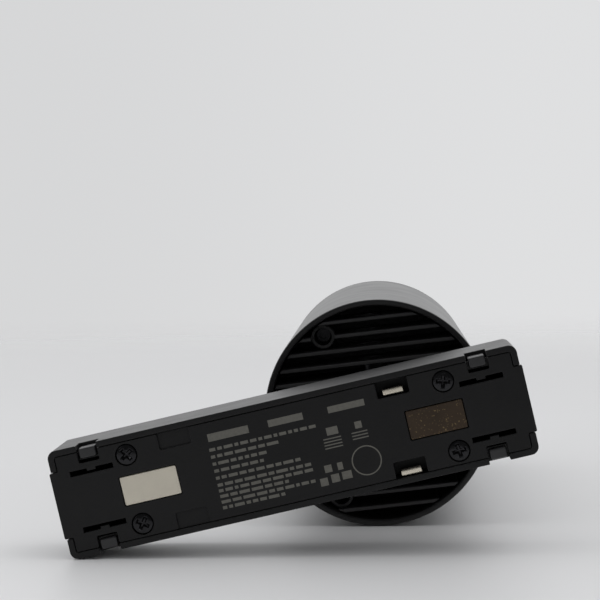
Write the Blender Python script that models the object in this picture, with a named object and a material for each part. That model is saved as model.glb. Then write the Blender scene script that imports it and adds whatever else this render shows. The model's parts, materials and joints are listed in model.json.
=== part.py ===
"""A track spotlight: a round head on an arm that tilts and swivels, and a magnetic track adapter.

Metres, +Z up. The spotlight lies on a table with the head's axis along +Y, so that the adapter's
track face looks along -Y. Every piece hangs on one of three empties. adapter_axis and arm_axis sit
on the swivel axis, each turned to its own roll, and tilt_axis sits on the pivot inside the head.
All pieces are built in the head's own coordinates: y = 0 is the rear rim, x runs along the fins.
"""

from math import cos, pi, radians, sin, sqrt

import bmesh
import bpy
from mathutils import Vector

# Head
HEAD_RADIUS = 0.0300
HEAD_LENGTH = 0.1362
WALL = 0.0016
FIT = 0.0003
INNER_RADIUS = HEAD_RADIUS - WALL
SINK_RADIUS = INNER_RADIUS - FIT
FIN_RADIUS = SINK_RADIUS - 0.0001
HEAD_ROLL = radians(5.9)
ROUND_SIDES = 64
INNER_SIDES = 48

# Adapter
FACE_Y = -0.0488
BACK_Y = -0.0242
LEFT_X = -0.0795
RIGHT_X = 0.0368
HALF_WIDTH = 0.0135
CASE_WALL = 0.0015
BACK_WALL = 0.0018
CORNER = 0.0020
ADAPTER_ROLL = radians(12.51)
COVER_TOP = FACE_Y + 0.0002
COVER_THICK = 0.0022
COVER_BACK = COVER_TOP + COVER_THICK
TONGUE_HALF = 0.0082
TONGUE_REACH = 0.0005

# Swivel and tilt
PIVOT_Y = 0.0120
PIVOT_HOLE = 0.0023
ARM_HALF_WIDTH = 0.0070
ARM_HALF_THICK = 0.0038
SLOT_HALF = 0.00495
SLOT_DEPTH = 0.0200
SLOT_BACK = -0.0078
SWIVEL_LIMIT = radians(165)
STEM_RADIUS = 0.0035
STEM_BORE = 0.0022
STEM_END = BACK_Y + 0.0060
BASE_RADIUS = 0.0120
BASE_START = BACK_Y + 0.0016
BASE_END = BACK_Y + 0.0040
COLLAR_RADIUS = 0.0049
COLLAR_END = STEM_END + 0.0013
CHANNEL_HALF = 0.0018
OUTLET_START = -0.0065
OUTLET_END = -0.0030
STOP_RADIUS = 0.0095
STOP_PIN = 0.0008
STOP_PIN_END = BACK_Y + 0.0030
STOP_GROOVE_HALF = 0.0012
STOP_GROOVE_DEPTH = 0.0010

# Heat sink
FIN_TOP = 0.0008
FIN_PITCH = 0.00385
FIN_HALF = 0.00052
FIN_PAIRS = 7
SINK_BASE = 0.0240
SINK_END = 0.0290
REAR_SCREW_RADIUS = 0.0247
REAR_SCREW_SEAT = 0.0150
REAR_SCREW_END = SINK_END + 0.0048
SCREW_CLEARANCE = 0.0016
REAR_SCREW_ANGLES = (radians(120), radians(240))

# Light engine, as distances along the head's axis
MOUNT_START = SINK_END + FIT
MOUNT_FLANGE_END = MOUNT_START + 0.0060
MOUNT_PLATE_START = 0.0570
MOUNT_END = MOUNT_PLATE_START + 0.0060
REFLECTOR_START = MOUNT_END + 0.0060
REFLECTOR_END = 0.1237
GLASS_START = REFLECTOR_END + 0.0005
GLASS_END = GLASS_START + 0.0020
TUBE_END = HEAD_LENGTH - 0.0025
LEAD_HOLE_X = 0.0210
LEAD_HOLE = 0.0026
LEAD_RADIUS = 0.0007
HOLDER_SCREW_Z = 0.0168
HOLDER_START = MOUNT_END + FIT
HOLDER_END = MOUNT_END + 0.0056
COB_START = MOUNT_END + 0.0009
COB_END = COB_START + 0.0014

# Adapter features: x of each feature's middle, and z of its middle on the upper side
LATCH_X = (-0.0697, 0.0270)
LATCH_Z = 0.01135
LATCH_HALF = (0.0021, 0.0013)
LATCH_TRAVEL = 0.0008
LATCH_WINDOW_HALF = 0.00255
LATCH_WINDOW_Z = LATCH_Z - LATCH_HALF[1] - LATCH_TRAVEL - 0.0002
SLIT_HALF = 0.00535
SLIT_GAP_HALF = 0.0011
SLIT_Z = (0.0063, 0.0076)
SCREW_X = (-0.0606, 0.0180)
SCREW_Z = 0.0086
SCREW_HOLE = 0.0015
MAGNET_X = (-0.0566, 0.0144)
MAGNET_HALF = (0.0070, 0.0035)
WINDOW_GAP = 0.0003
CONTACT_X = (-0.0484, 0.0057)
CONTACT_Z = (0.0090, -0.0110)
CONTACT_HALF = (0.00245, 0.00065)
RECESS_HALF = 0.0039
RECESS_Z = 0.0079
BLIND_DEPTH = 0.0006
BOSS_RADIUS = 0.0030
SCREW_HEAD = 0.0025
SCREW_REACH = 0.0095
CROSS_REACH = 0.0013
CROSS_HALF = 0.0003
TRAY_WALL = 0.0010
TRAY_GAP = 0.0002


# ---------------------------------------------------------------- scene and materials

def clear_scene():
    for old in list(bpy.data.objects):
        bpy.data.objects.remove(old, do_unlink=True)


def material(name, colour, roughness, metallic=0.0):
    made = bpy.data.materials.new(name)
    made.use_nodes = True
    shader = made.node_tree.nodes["Principled BSDF"]
    shader.inputs["Base Color"].default_value = (*colour, 1.0)
    shader.inputs["Roughness"].default_value = roughness
    shader.inputs["Metallic"].default_value = metallic
    return made


def carrier(name, location, roll, parent, origin=(0.0, 0.0, 0.0)):
    """An empty that pieces hang on; origin is its place in the head's own coordinates."""
    made = bpy.data.objects.new(name, None)
    bpy.context.scene.collection.objects.link(made)
    made.location = location
    made.rotation_euler = (0.0, -roll, 0.0)
    made.parent = parent
    made["origin"] = origin
    return made


# ---------------------------------------------------------------- outlines

def rectangle(a0, a1, b0, b1):
    return [(a0, b0), (a1, b0), (a1, b1), (a0, b1)]


def rounded_rectangle(a0, a1, b0, b1, radius, steps=4):
    corners = ((a1 - radius, b1 - radius), (a0 + radius, b1 - radius),
               (a0 + radius, b0 + radius), (a1 - radius, b0 + radius))
    points = []
    for quarter, (a, b) in enumerate(corners):
        for step in range(steps + 1):
            angle = (quarter + step / steps) * pi / 2
            points.append((a + radius * cos(angle), b + radius * sin(angle)))
    return points


def circle(radius, sides, a=0.0, b=0.0):
    """A ring of corners, none of them on the lines through the centre along a or b."""
    angles = [2 * pi * (k + 0.37) / sides for k in range(sides)]
    return [(a + radius * cos(t), b + radius * sin(t)) for t in angles]


def arc_band(inner, outer, start, end, steps):
    angles = [start + (end - start) * k / steps for k in range(steps + 1)]
    outside = [(outer * cos(t), outer * sin(t)) for t in angles]
    inside = [(inner * cos(t), inner * sin(t)) for t in reversed(angles)]
    return outside + inside


# ---------------------------------------------------------------- meshes

def place(a, b, t, axis):
    """A point (a, b) of an outline at height t: across Y it is (x, z), across Z (x, y), across X (y, z)."""
    if axis == "Y":
        return (a, t, b)
    if axis == "Z":
        return (a, b, t)
    return (t, a, b)


def add_prism(mesh, outline, axis, low, high):
    bottom = [mesh.verts.new(place(a, b, low, axis)) for a, b in outline]
    face = mesh.faces.new(bottom)
    swept = bmesh.ops.extrude_face_region(mesh, geom=[face])
    moved = [g for g in swept["geom"] if isinstance(g, bmesh.types.BMVert)]
    bmesh.ops.translate(mesh, verts=moved, vec=Vector(place(0, 0, high - low, axis)))


def add_turned(mesh, profile, sides):
    """Turns a closed section of (radius, y) corners about the Y axis."""
    ring = [mesh.verts.new((radius, y, 0.0)) for radius, y in profile]
    edges = []
    for first, second in zip(ring, ring[1:] + ring[:1]):
        if first.co.x > 0 or second.co.x > 0:
            edges.append(mesh.edges.new((first, second)))
    bmesh.ops.spin(mesh, geom=ring + edges, cent=(0, 0, 0), axis=(0, 1, 0),
                   angle=2 * pi, steps=sides, use_merge=True)
    bmesh.ops.remove_doubles(mesh, verts=mesh.verts, dist=1e-6)


def solid(name, mesh, finish, parent, smooth=35):
    bmesh.ops.recalc_face_normals(mesh, faces=mesh.faces)
    data = bpy.data.meshes.new(name)
    mesh.to_mesh(data)
    mesh.free()
    data.shade_smooth()
    data.set_sharp_from_angle(angle=radians(smooth))
    if finish:
        data.materials.append(finish)
    made = bpy.data.objects.new(name, data)
    bpy.context.scene.collection.objects.link(made)
    made.parent = parent
    made.location = -Vector(parent["origin"])
    return made


def prism(name, outline, axis, low, high, finish, parent):
    mesh = bmesh.new()
    add_prism(mesh, outline, axis, low, high)
    return solid(name, mesh, finish, parent)


def turned(name, profile, finish, parent, sides=INNER_SIDES):
    mesh = bmesh.new()
    add_turned(mesh, profile, sides)
    return solid(name, mesh, finish, parent)


def combine(target, operation, name, mesh, parent):
    """Joins or cuts the target with a guide solid, which isn't a piece of the spotlight."""
    guide = solid(name, mesh, None, parent)
    guide.hide_render = True
    guide.display_type = "WIRE"
    modifier = target.modifiers.new(name, "BOOLEAN")
    modifier.operation = operation
    modifier.object = guide
    modifier.solver = "EXACT"


def wire(name, points, radius, finish, parent):
    """A round lead through the given points, bent smoothly between them."""
    curve = bpy.data.curves.new(name, "CURVE")
    curve.dimensions = "3D"
    curve.bevel_depth = radius
    curve.bevel_resolution = 1
    curve.use_fill_caps = True
    curve.render_resolution_u = 0
    smooth = smooth_path(points)
    spline = curve.splines.new("POLY")
    spline.points.add(len(smooth) - 1)
    for target, place_at in zip(spline.points, smooth):
        target.co = (*place_at, 1.0)
    curve.materials.append(finish)
    made = bpy.data.objects.new(name, curve)
    bpy.context.scene.collection.objects.link(made)
    made.parent = parent
    made.location = -Vector(parent["origin"])
    return made


def smooth_path(points, steps=3):
    """Catmull-Rom points through the route's own points."""
    knots = [Vector(p) for p in points]
    knots = [2 * knots[0] - knots[1]] + knots + [2 * knots[-1] - knots[-2]]
    path = []
    for a, b, c, d in zip(knots, knots[1:], knots[2:], knots[3:]):
        for step in range(steps):
            t = step / steps
            path.append(0.5 * (2 * b + (c - a) * t + (2 * a - 5 * b + 4 * c - d) * t ** 2
                               + (3 * b - a - 3 * c + d) * t ** 3))
    return path + [knots[-2]]


# ---------------------------------------------------------------- adapter

def adapter_housing(parent, finish):
    """An open box whose side walls have notches for the latches, with four screw bosses."""
    outline = rounded_rectangle(LEFT_X, RIGHT_X, -HALF_WIDTH, HALF_WIDTH, CORNER)
    box = prism("adapter_housing", outline, "Y", FACE_Y, BACK_Y, finish, parent)
    inner = CORNER - CASE_WALL + 0.0003
    cavity = bmesh.new()
    add_prism(cavity, rounded_rectangle(LEFT_X + CASE_WALL, RIGHT_X - CASE_WALL, CASE_WALL - HALF_WIDTH,
                                        HALF_WIDTH - CASE_WALL, inner), "Y", FACE_Y - 0.002,
              BACK_Y - BACK_WALL)
    combine(box, "DIFFERENCE", "adapter_cavity", cavity, parent)
    bosses = bmesh.new()
    for x in SCREW_X:
        for side in (-1, 1):
            add_prism(bosses, circle(BOSS_RADIUS, 20, x, side * SCREW_Z), "Y", COVER_BACK + FIT,
                      BACK_Y - 0.0010)
    combine(box, "UNION", "adapter_bosses", bosses, parent)
    holes = bmesh.new()
    for x in SCREW_X:
        for side in (-1, 1):
            add_prism(holes, circle(SCREW_HOLE, 12, x, side * SCREW_Z), "Y", COVER_BACK,
                      COVER_BACK + 0.0085)
    for x in LATCH_X:
        for side in (-1, 1):
            low, high = sorted((side * (HALF_WIDTH - CASE_WALL - 0.0005), side * (HALF_WIDTH + 0.001)))
            add_prism(holes, rectangle(x - LATCH_WINDOW_HALF, x + LATCH_WINDOW_HALF, low, high), "Y",
                      FACE_Y - 0.001, FACE_Y + 0.0062)
    for x in (LEFT_X, RIGHT_X):
        add_prism(holes, rectangle(x - 0.0017, x + 0.0017, -TONGUE_HALF - FIT, TONGUE_HALF + FIT),
                  "Y", FACE_Y - 0.001, COVER_BACK + FIT)
    add_prism(holes, circle(STEM_RADIUS + FIT, 24), "Y", BACK_Y - 0.004, BACK_Y + 0.002)
    combine(box, "DIFFERENCE", "adapter_openings", holes, parent)
    groove = bmesh.new()
    end = SWIVEL_LIMIT + (STOP_PIN + FIT) / STOP_RADIUS
    inner, outer = STOP_RADIUS - STOP_GROOVE_HALF, STOP_RADIUS + STOP_GROOVE_HALF
    add_prism(groove, arc_band(inner, outer, pi / 2 - end, pi / 2 + end, 36), "Y",
              BACK_Y - STOP_GROOVE_DEPTH, BACK_Y + 0.002)
    combine(box, "DIFFERENCE", "stop_groove", groove, parent)


def adapter_cover(parent, finish):
    """The track face: windows for magnets, contacts and latches, slits beside the latches."""
    edge = CASE_WALL + FIT
    outline = rounded_rectangle(LEFT_X + edge, RIGHT_X - edge, edge - HALF_WIDTH, HALF_WIDTH - edge,
                                0.0006, 2)
    plate = prism("adapter_cover", outline, "Y", COVER_TOP, COVER_BACK, finish, parent)
    tongues = bmesh.new()
    for x in (LEFT_X, RIGHT_X):
        low, high = sorted((x - TONGUE_REACH, x + TONGUE_REACH))
        inward = 0.004 if x < 0 else -0.004
        low, high = min(low, x + inward), max(high, x + inward)
        add_prism(tongues, rectangle(low, high, -TONGUE_HALF, TONGUE_HALF), "Y", COVER_TOP, COVER_BACK)
    combine(plate, "UNION", "cover_tongues", tongues, parent)
    through = (COVER_TOP - 0.001, COVER_BACK + 0.001)
    holes = bmesh.new()
    for x in MAGNET_X:
        half_x, half_z = MAGNET_HALF[0] + WINDOW_GAP, MAGNET_HALF[1] + WINDOW_GAP
        add_prism(holes, rectangle(x - half_x, x + half_x, -half_z, half_z), "Y", *through)
    for side in (-1, 1):
        for x in LATCH_X:
            low, high = sorted((side * LATCH_WINDOW_Z, side * HALF_WIDTH))
            add_prism(holes, rectangle(x - LATCH_WINDOW_HALF, x + LATCH_WINDOW_HALF, low, high), "Y",
                      *through)
            for part_start, part_end in ((-SLIT_HALF, -SLIT_GAP_HALF), (SLIT_GAP_HALF, SLIT_HALF)):
                low, high = sorted((side * SLIT_Z[0], side * SLIT_Z[1]))
                add_prism(holes, rectangle(x + part_start, x + part_end, low, high), "Y", *through)
        for x in SCREW_X:
            add_prism(holes, circle(SCREW_HOLE, 16, x, side * SCREW_Z), "Y", *through)
        low, high = sorted((side * RECESS_Z, side * HALF_WIDTH))
        x = CONTACT_X[1]
        add_prism(holes, rectangle(x - RECESS_HALF, x + RECESS_HALF, low, high), "Y", *through)
    combine(plate, "DIFFERENCE", "cover_openings", holes, parent)
    recesses = bmesh.new()
    for side in (-1, 1):
        low, high = sorted((side * RECESS_Z, side * HALF_WIDTH))
        x = CONTACT_X[0]
        add_prism(recesses, rectangle(x - RECESS_HALF, x + RECESS_HALF, low, high), "Y", COVER_TOP - 0.001,
                  COVER_TOP + BLIND_DEPTH)
        for x in SCREW_X:
            add_prism(recesses, circle(0.0027, 24, x, side * SCREW_Z), "Y", COVER_TOP - 0.001,
                      COVER_TOP + 0.0013)
    combine(plate, "DIFFERENCE", "cover_recesses", recesses, parent)


def cover_screws(parent, finish):
    """Four cross-recessed screws, sunk flush with the cover."""
    spots = [(x, side * SCREW_Z) for x in SCREW_X for side in (1, -1)]
    for number, (x, z) in enumerate(spots, 1):
        screw = prism(f"cover_screw_{number}", circle(SCREW_HEAD, 24, x, z), "Y", COVER_TOP,
                      COVER_TOP + 0.0011,
                      finish, parent)
        shank = bmesh.new()
        add_prism(shank, circle(0.0012, 12, x, z), "Y", COVER_TOP + 0.0005, COVER_TOP + SCREW_REACH)
        combine(screw, "UNION", f"cover_screw_shank_{number}", shank, parent)
        for blade, half_x, half_z in (("a", CROSS_REACH, CROSS_HALF), ("b", CROSS_HALF, CROSS_REACH)):
            cross = bmesh.new()
            add_prism(cross, rectangle(x - half_x, x + half_x, z - half_z, z + half_z), "Y",
                      COVER_TOP - 0.001,
                      COVER_TOP + 0.0007)
            combine(screw, "DIFFERENCE", f"cover_screw_slot_{blade}_{number}", cross, parent)


def magnets(parent, bright, filmed, tray_finish):
    half_x, half_z = MAGNET_HALF
    for side, x, finish in (("left", MAGNET_X[0], bright), ("right", MAGNET_X[1], filmed)):
        top = COVER_TOP + 0.0002
        prism(f"magnet_{side}", rectangle(x - half_x, x + half_x, -half_z, half_z), "Y",
              top, top + 0.0040, finish, parent)
        pocket_x, pocket_z = half_x + TRAY_GAP, half_z + TRAY_GAP
        outer_x, outer_z = pocket_x + TRAY_WALL, pocket_z + TRAY_WALL
        tray = prism(f"magnet_tray_{side}", rectangle(x - outer_x, x + outer_x, -outer_z, outer_z), "Y",
                     COVER_BACK + FIT, top + 0.0052, tray_finish, parent)
        pocket = bmesh.new()
        add_prism(pocket, rectangle(x - pocket_x, x + pocket_x, -pocket_z, pocket_z), "Y",
                  COVER_BACK - 0.001,
                  top + 0.0042)
        combine(tray, "DIFFERENCE", f"tray_pocket_{side}", pocket, parent)


def latches(parent, latch_finish, spring_finish):
    """A block in each window, a foot behind the cover, and a bowed leaf spring on the foot."""
    half_x, half_z = LATCH_HALF
    ends = list(zip(("left", "right"), LATCH_X))
    spots = [(side, end) for side in (("upper", 1), ("lower", -1)) for end in ends]
    for (side_name, side), (end_name, x) in spots:
        low, high = sorted((side * (LATCH_Z - half_z), side * (LATCH_Z + half_z)))
        block = prism(f"latch_{side_name}_{end_name}", rectangle(x - half_x, x + half_x, low, high), "Y",
                      COVER_TOP + 0.0002, FACE_Y + 0.0058, latch_finish, parent)
        low, high = sorted((side * (LATCH_Z - 0.0017), side * (HALF_WIDTH - CASE_WALL - FIT)))
        foot = bmesh.new()
        add_prism(foot, rectangle(x - 0.0040, x + 0.0040, low, high), "Y", COVER_BACK + FIT,
                  COVER_BACK + 0.0022)
        combine(block, "UNION", f"latch_foot_{side_name}_{end_name}", foot, parent)
        bow = []
        for step in range(9):
            along = -1 + step / 4
            bow.append((x + 0.0036 * along, side * (LATCH_Z - 0.0020 - 0.0013 * (1 - along ** 2))))
        thick = [(a, b - side * 0.0003) for a, b in reversed(bow)]
        prism(f"latch_spring_{side_name}_{end_name}", bow + thick, "Y", COVER_BACK + 0.0005,
              COVER_BACK + 0.0020, spring_finish, parent)


def contacts(parent, finish):
    for name, z in zip(("positive", "negative"), CONTACT_Z):
        x = CONTACT_X[1]
        half_x, half_z = CONTACT_HALF
        prism(f"contact_{name}", rectangle(x - half_x, x + half_x, z - half_z, z + half_z), "Y",
              COVER_TOP + 0.0009, COVER_TOP + 0.0048, finish, parent)


def driver(parent, paint):
    """Circuit board with its parts on the back, the contact block in front, and the two leads."""
    board_front = FACE_Y + 0.0080
    board_back = board_front + 0.0016
    foot = board_back + FIT
    board = prism("driver_board", rectangle(-0.0545, 0.0135, -0.0100, 0.0100), "Y",
                  board_front, board_back, paint["board"], parent)
    corner = bmesh.new()
    add_prism(corner, circle(0.0011, 12, -0.0520, 0.0075), "Y", board_front - 0.001, board_back + 0.001)
    add_prism(corner, circle(0.0011, 12, 0.0110, -0.0075), "Y", board_front - 0.001, board_back + 0.001)
    combine(board, "DIFFERENCE", "board_holes", corner, parent)
    prism("contact_block", rectangle(CONTACT_X[1] - 0.0050, CONTACT_X[1] + 0.0050, -0.0115, 0.0115), "Y",
          FACE_Y + 0.0060, board_front - FIT, paint["black_plastic"], parent)
    prism("inductor", circle(0.0055, 24, -0.0230, 0.0), "Y", foot, foot + 0.0070, paint["ferrite"], parent)
    for number, z in enumerate((0.0052, -0.0052), 1):
        prism(f"capacitor_{number}", circle(0.0040, 20, -0.0345, z), "Y", foot, foot + 0.0105,
              paint["capacitor"], parent)
    prism("driver_chip", rectangle(-0.0480, -0.0415, -0.0030, 0.0030), "Y", foot, foot + 0.0016,
          paint["chip"], parent)
    prism("lead_terminal", rectangle(-0.0155, -0.0098, -0.0050, 0.0050), "Y", foot, foot + 0.0070,
          paint["white_plastic"], parent)
    for name, z, finish in (("red", 0.00095, paint["lead_red"]), ("black", -0.00095, paint["lead_black"])):
        route = ((-0.0095, foot + 0.0014, 1.6 * z), (-0.0060, foot + 0.0014, 1.3 * z),
                 (-0.0025, foot + 0.0016, z),
                 (-0.0006, foot + 0.0028, z), (0.0, foot + 0.0046, z), (0.0, foot + 0.0090, z))
        wire(f"lead_{name}_adapter", route, LEAD_RADIUS, finish, parent)


# ---------------------------------------------------------------- swivel and arm

def swivel(parent, paint):
    """Hollow stem through the adapter's back, clamped by a nut on a wave washer, with a stop pin."""
    stem_start = BACK_Y - 0.0100
    turned("swivel_stem", rectangle(STEM_BORE, STEM_RADIUS, stem_start, STEM_END), paint["steel"], parent,
           24)
    inside = BACK_Y - BACK_WALL - FIT
    bore = STEM_RADIUS + FIT
    washer_start = inside - 0.0010
    turned("swivel_washer", rectangle(bore, 0.0080, washer_start, inside), paint["steel"], parent, 24)
    nut_end = washer_start - FIT
    nut = prism("swivel_nut", circle(0.0072, 6), "Y", nut_end - 0.0040, nut_end, paint["steel"], parent)
    nut_bore = bmesh.new()
    add_prism(nut_bore, circle(bore, 24), "Y", nut_end - 0.005, inside)
    combine(nut, "DIFFERENCE", "nut_bore", nut_bore, parent)
    turned("swivel_ring", rectangle(bore, STOP_RADIUS - STOP_GROOVE_HALF - 0.0006, BACK_Y + FIT,
                                    BASE_START - FIT),
           paint["white_plastic"], parent, 24)
    prism("swivel_stop_pin", circle(STOP_PIN, 12, 0.0, STOP_RADIUS), "Y",
          BACK_Y - STOP_GROOVE_DEPTH + FIT, STOP_PIN_END, paint["steel"], parent)


def arm(parent, finish):
    """A round base with a collar on the adapter, and a flat bar whose rounded end carries the tilt pivot."""
    body = turned("arm", [(0.0, BASE_START), (BASE_RADIUS, BASE_START), (BASE_RADIUS, BASE_END - 0.0008),
                          (BASE_RADIUS - 0.0008, BASE_END), (COLLAR_RADIUS, BASE_END),
                          (COLLAR_RADIUS, COLLAR_END), (0.0, COLLAR_END)], finish, parent)
    bar = bmesh.new()
    rounded_end = [(ARM_HALF_WIDTH * cos(pi * k / 16), PIVOT_Y + ARM_HALF_WIDTH * sin(pi * k / 16))
                   for k in range(17)]
    outline = [(-ARM_HALF_WIDTH, BASE_END - 0.001), (ARM_HALF_WIDTH, BASE_END - 0.001)] + rounded_end
    add_prism(bar, outline, "Z", -ARM_HALF_THICK, ARM_HALF_THICK)
    combine(body, "UNION", "arm_bar", bar, parent)
    holes = bmesh.new()
    add_prism(holes, circle(STEM_RADIUS + FIT, 24), "Y", BASE_START - 0.002, STEM_END + FIT)
    add_prism(holes, circle(STOP_PIN + FIT, 12, 0.0, STOP_RADIUS), "Y", BASE_START - 0.002,
              STOP_PIN_END + FIT)
    add_prism(holes, circle(PIVOT_HOLE, 20, 0.0, PIVOT_Y), "Z", -0.006, 0.006)
    combine(body, "DIFFERENCE", "arm_holes", holes, parent)
    channel = bmesh.new()
    add_prism(channel, rectangle(-CHANNEL_HALF, CHANNEL_HALF, -CHANNEL_HALF, CHANNEL_HALF), "Y",
              STEM_END - 0.001, OUTLET_END)
    combine(body, "DIFFERENCE", "arm_lead_channel", channel, parent)
    outlet = bmesh.new()
    add_prism(outlet, rectangle(OUTLET_START, OUTLET_END, -CHANNEL_HALF, CHANNEL_HALF), "X",
              0.0, ARM_HALF_WIDTH + 0.001)
    combine(body, "DIFFERENCE", "arm_lead_outlet", outlet, parent)


# ---------------------------------------------------------------- head

def head_housing(parent, finish):
    tube = turned("head_housing", [(INNER_RADIUS, 0.0), (HEAD_RADIUS - 0.0003, 0.0), (HEAD_RADIUS, 0.0003),
                                   (HEAD_RADIUS, TUBE_END), (INNER_RADIUS, TUBE_END)],
                  finish, parent, ROUND_SIDES)
    slot = bmesh.new()
    add_prism(slot, rectangle(0.0100, 0.0400, -0.0010, SLOT_DEPTH + 0.0005), "Z", -SLOT_HALF - 0.0006,
              SLOT_HALF + 0.0006)
    combine(tube, "DIFFERENCE", "housing_slot", slot, parent)


def heat_sink(parent, finish):
    """A round base with straight fins, two screw bosses and a block for the tilt pivot."""
    sink = turned("heat_sink", [(0.0, SINK_BASE), (SINK_RADIUS, SINK_BASE), (SINK_RADIUS, SINK_END),
                                (0.0, SINK_END)], finish, parent)
    fins = bmesh.new()
    for pair in range(FIN_PAIRS):
        middle = (pair + 0.5) * FIN_PITCH
        near, far = middle - FIN_HALF, middle + FIN_HALF
        near_x, far_x = sqrt(FIN_RADIUS ** 2 - near ** 2), sqrt(FIN_RADIUS ** 2 - far ** 2)
        for side in (-1, 1):
            outline = [(-near_x, side * near), (near_x, side * near), (far_x, side * far),
                       (-far_x, side * far)]
            add_prism(fins, outline, "Y", FIN_TOP, SINK_BASE + 0.001)
    combine(sink, "UNION", "fins", fins, parent)
    block = bmesh.new()
    add_prism(block, rounded_rectangle(-0.0130, 0.0130, -0.0092, 0.0092, 0.0020), "Y", 0.0020,
              SINK_BASE + 0.0015)
    combine(sink, "UNION", "pivot_block", block, parent)
    bosses = bmesh.new()
    for angle in REAR_SCREW_ANGLES:
        x, z = REAR_SCREW_RADIUS * cos(angle), REAR_SCREW_RADIUS * sin(angle)
        add_prism(bosses, circle(0.0032, 24, x, z), "Y", FIN_TOP + 0.0002, SINK_BASE + 0.002)
    combine(sink, "UNION", "screw_bosses", bosses, parent)
    holes = bmesh.new()
    for angle in REAR_SCREW_ANGLES:
        x, z = REAR_SCREW_RADIUS * cos(angle), REAR_SCREW_RADIUS * sin(angle)
        profile_hole(holes, x, z)
    add_prism(holes, circle(LEAD_HOLE, 20, LEAD_HOLE_X, 0.0), "Y", SLOT_DEPTH - 0.001, SINK_END + 0.001)
    combine(sink, "DIFFERENCE", "sink_holes", holes, parent)
    pivot = bmesh.new()
    add_prism(pivot, circle(0.0041, 20, 0.0, PIVOT_Y), "Z", 0.0088, 0.0290)
    combine(sink, "DIFFERENCE", "pivot_bore", pivot, parent)
    shank = bmesh.new()
    add_prism(shank, circle(PIVOT_HOLE, 20, 0.0, PIVOT_Y), "Z", -0.0080, 0.0100)
    combine(sink, "DIFFERENCE", "pivot_hole", shank, parent)
    slot = bmesh.new()
    add_prism(slot, rectangle(SLOT_BACK, HEAD_RADIUS, FIN_TOP - 0.002, SLOT_DEPTH), "Z", -SLOT_HALF,
              SLOT_HALF)
    combine(sink, "DIFFERENCE", "arm_slot", slot, parent)


def profile_hole(mesh, x, z):
    """A stepped hole for a cap screw: a wide part for the head and a narrow one for the shank."""
    wide = circle(0.00235, 20, x, z)
    narrow = circle(SCREW_CLEARANCE, 20, x, z)
    levels = ((wide, FIN_TOP - 0.001), (wide, REAR_SCREW_SEAT), (narrow, REAR_SCREW_SEAT),
              (narrow, SINK_END + 0.001))
    rings = [[mesh.verts.new((a, y, b)) for a, b in outline] for outline, y in levels]
    mesh.faces.new(rings[0])
    mesh.faces.new(rings[-1])
    for lower, upper in zip(rings, rings[1:]):
        for k in range(len(lower)):
            after = (k + 1) % len(lower)
            mesh.faces.new((lower[k], lower[after], upper[after], upper[k]))


def head_screws(parent, finish):
    for number, angle in enumerate(REAR_SCREW_ANGLES, 1):
        x, z = REAR_SCREW_RADIUS * cos(angle), REAR_SCREW_RADIUS * sin(angle)
        head_end = REAR_SCREW_SEAT - FIT
        head_start = head_end - 0.0030
        screw = prism(f"rear_screw_{number}", circle(0.0021, 20, x, z), "Y", head_start, head_end, finish,
                      parent)
        shank = bmesh.new()
        add_prism(shank, circle(0.0013, 16, x, z), "Y", head_end - 0.0007, REAR_SCREW_END)
        combine(screw, "UNION", f"rear_screw_shank_{number}", shank, parent)
        socket = bmesh.new()
        add_prism(socket, circle(0.0012, 6, x, z), "Y", head_start - 0.001, head_start + 0.0015)
        combine(screw, "DIFFERENCE", f"rear_screw_socket_{number}", socket, parent)
    for number, side in enumerate((1, -1), 1):
        low = HOLDER_END + FIT
        screw = prism(f"holder_screw_{number}", circle(0.0021, 20, 0.0, side * HOLDER_SCREW_Z), "Y",
                      low, low + 0.0015, finish, parent)
        shank = bmesh.new()
        add_prism(shank, circle(0.0012, 16, 0.0, side * HOLDER_SCREW_Z), "Y", MOUNT_END - 0.0037,
                  low + 0.0006)
        combine(screw, "UNION", f"holder_screw_shank_{number}", shank, parent)


def pivot(parent, steel, plastic):
    """The tilt bolt screws into the lower cheek, and a washer fills each gap beside the arm."""
    bolt = prism("pivot_bolt", circle(0.0036, 24, 0.0, PIVOT_Y), "Z", 0.0091, 0.0126, steel, parent)
    shank = bmesh.new()
    add_prism(shank, circle(0.0020, 20, 0.0, PIVOT_Y), "Z", -0.0076, 0.0100)
    combine(bolt, "UNION", "pivot_bolt_shank", shank, parent)
    socket = bmesh.new()
    add_prism(socket, circle(0.0019, 6, 0.0, PIVOT_Y), "Z", 0.0108, 0.0140)
    combine(bolt, "DIFFERENCE", "pivot_bolt_socket", socket, parent)
    for name, low in (("upper", ARM_HALF_THICK + 0.00015), ("lower", -ARM_HALF_THICK - 0.00095)):
        washer = prism(f"friction_washer_{name}", circle(0.0060, 24, 0.0, PIVOT_Y), "Z", low, low + 0.0008,
                       plastic, parent)
        hole = bmesh.new()
        add_prism(hole, circle(PIVOT_HOLE, 20, 0.0, PIVOT_Y), "Z", low - 0.001, low + 0.002)
        combine(washer, "DIFFERENCE", f"washer_hole_{name}", hole, parent)


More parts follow.
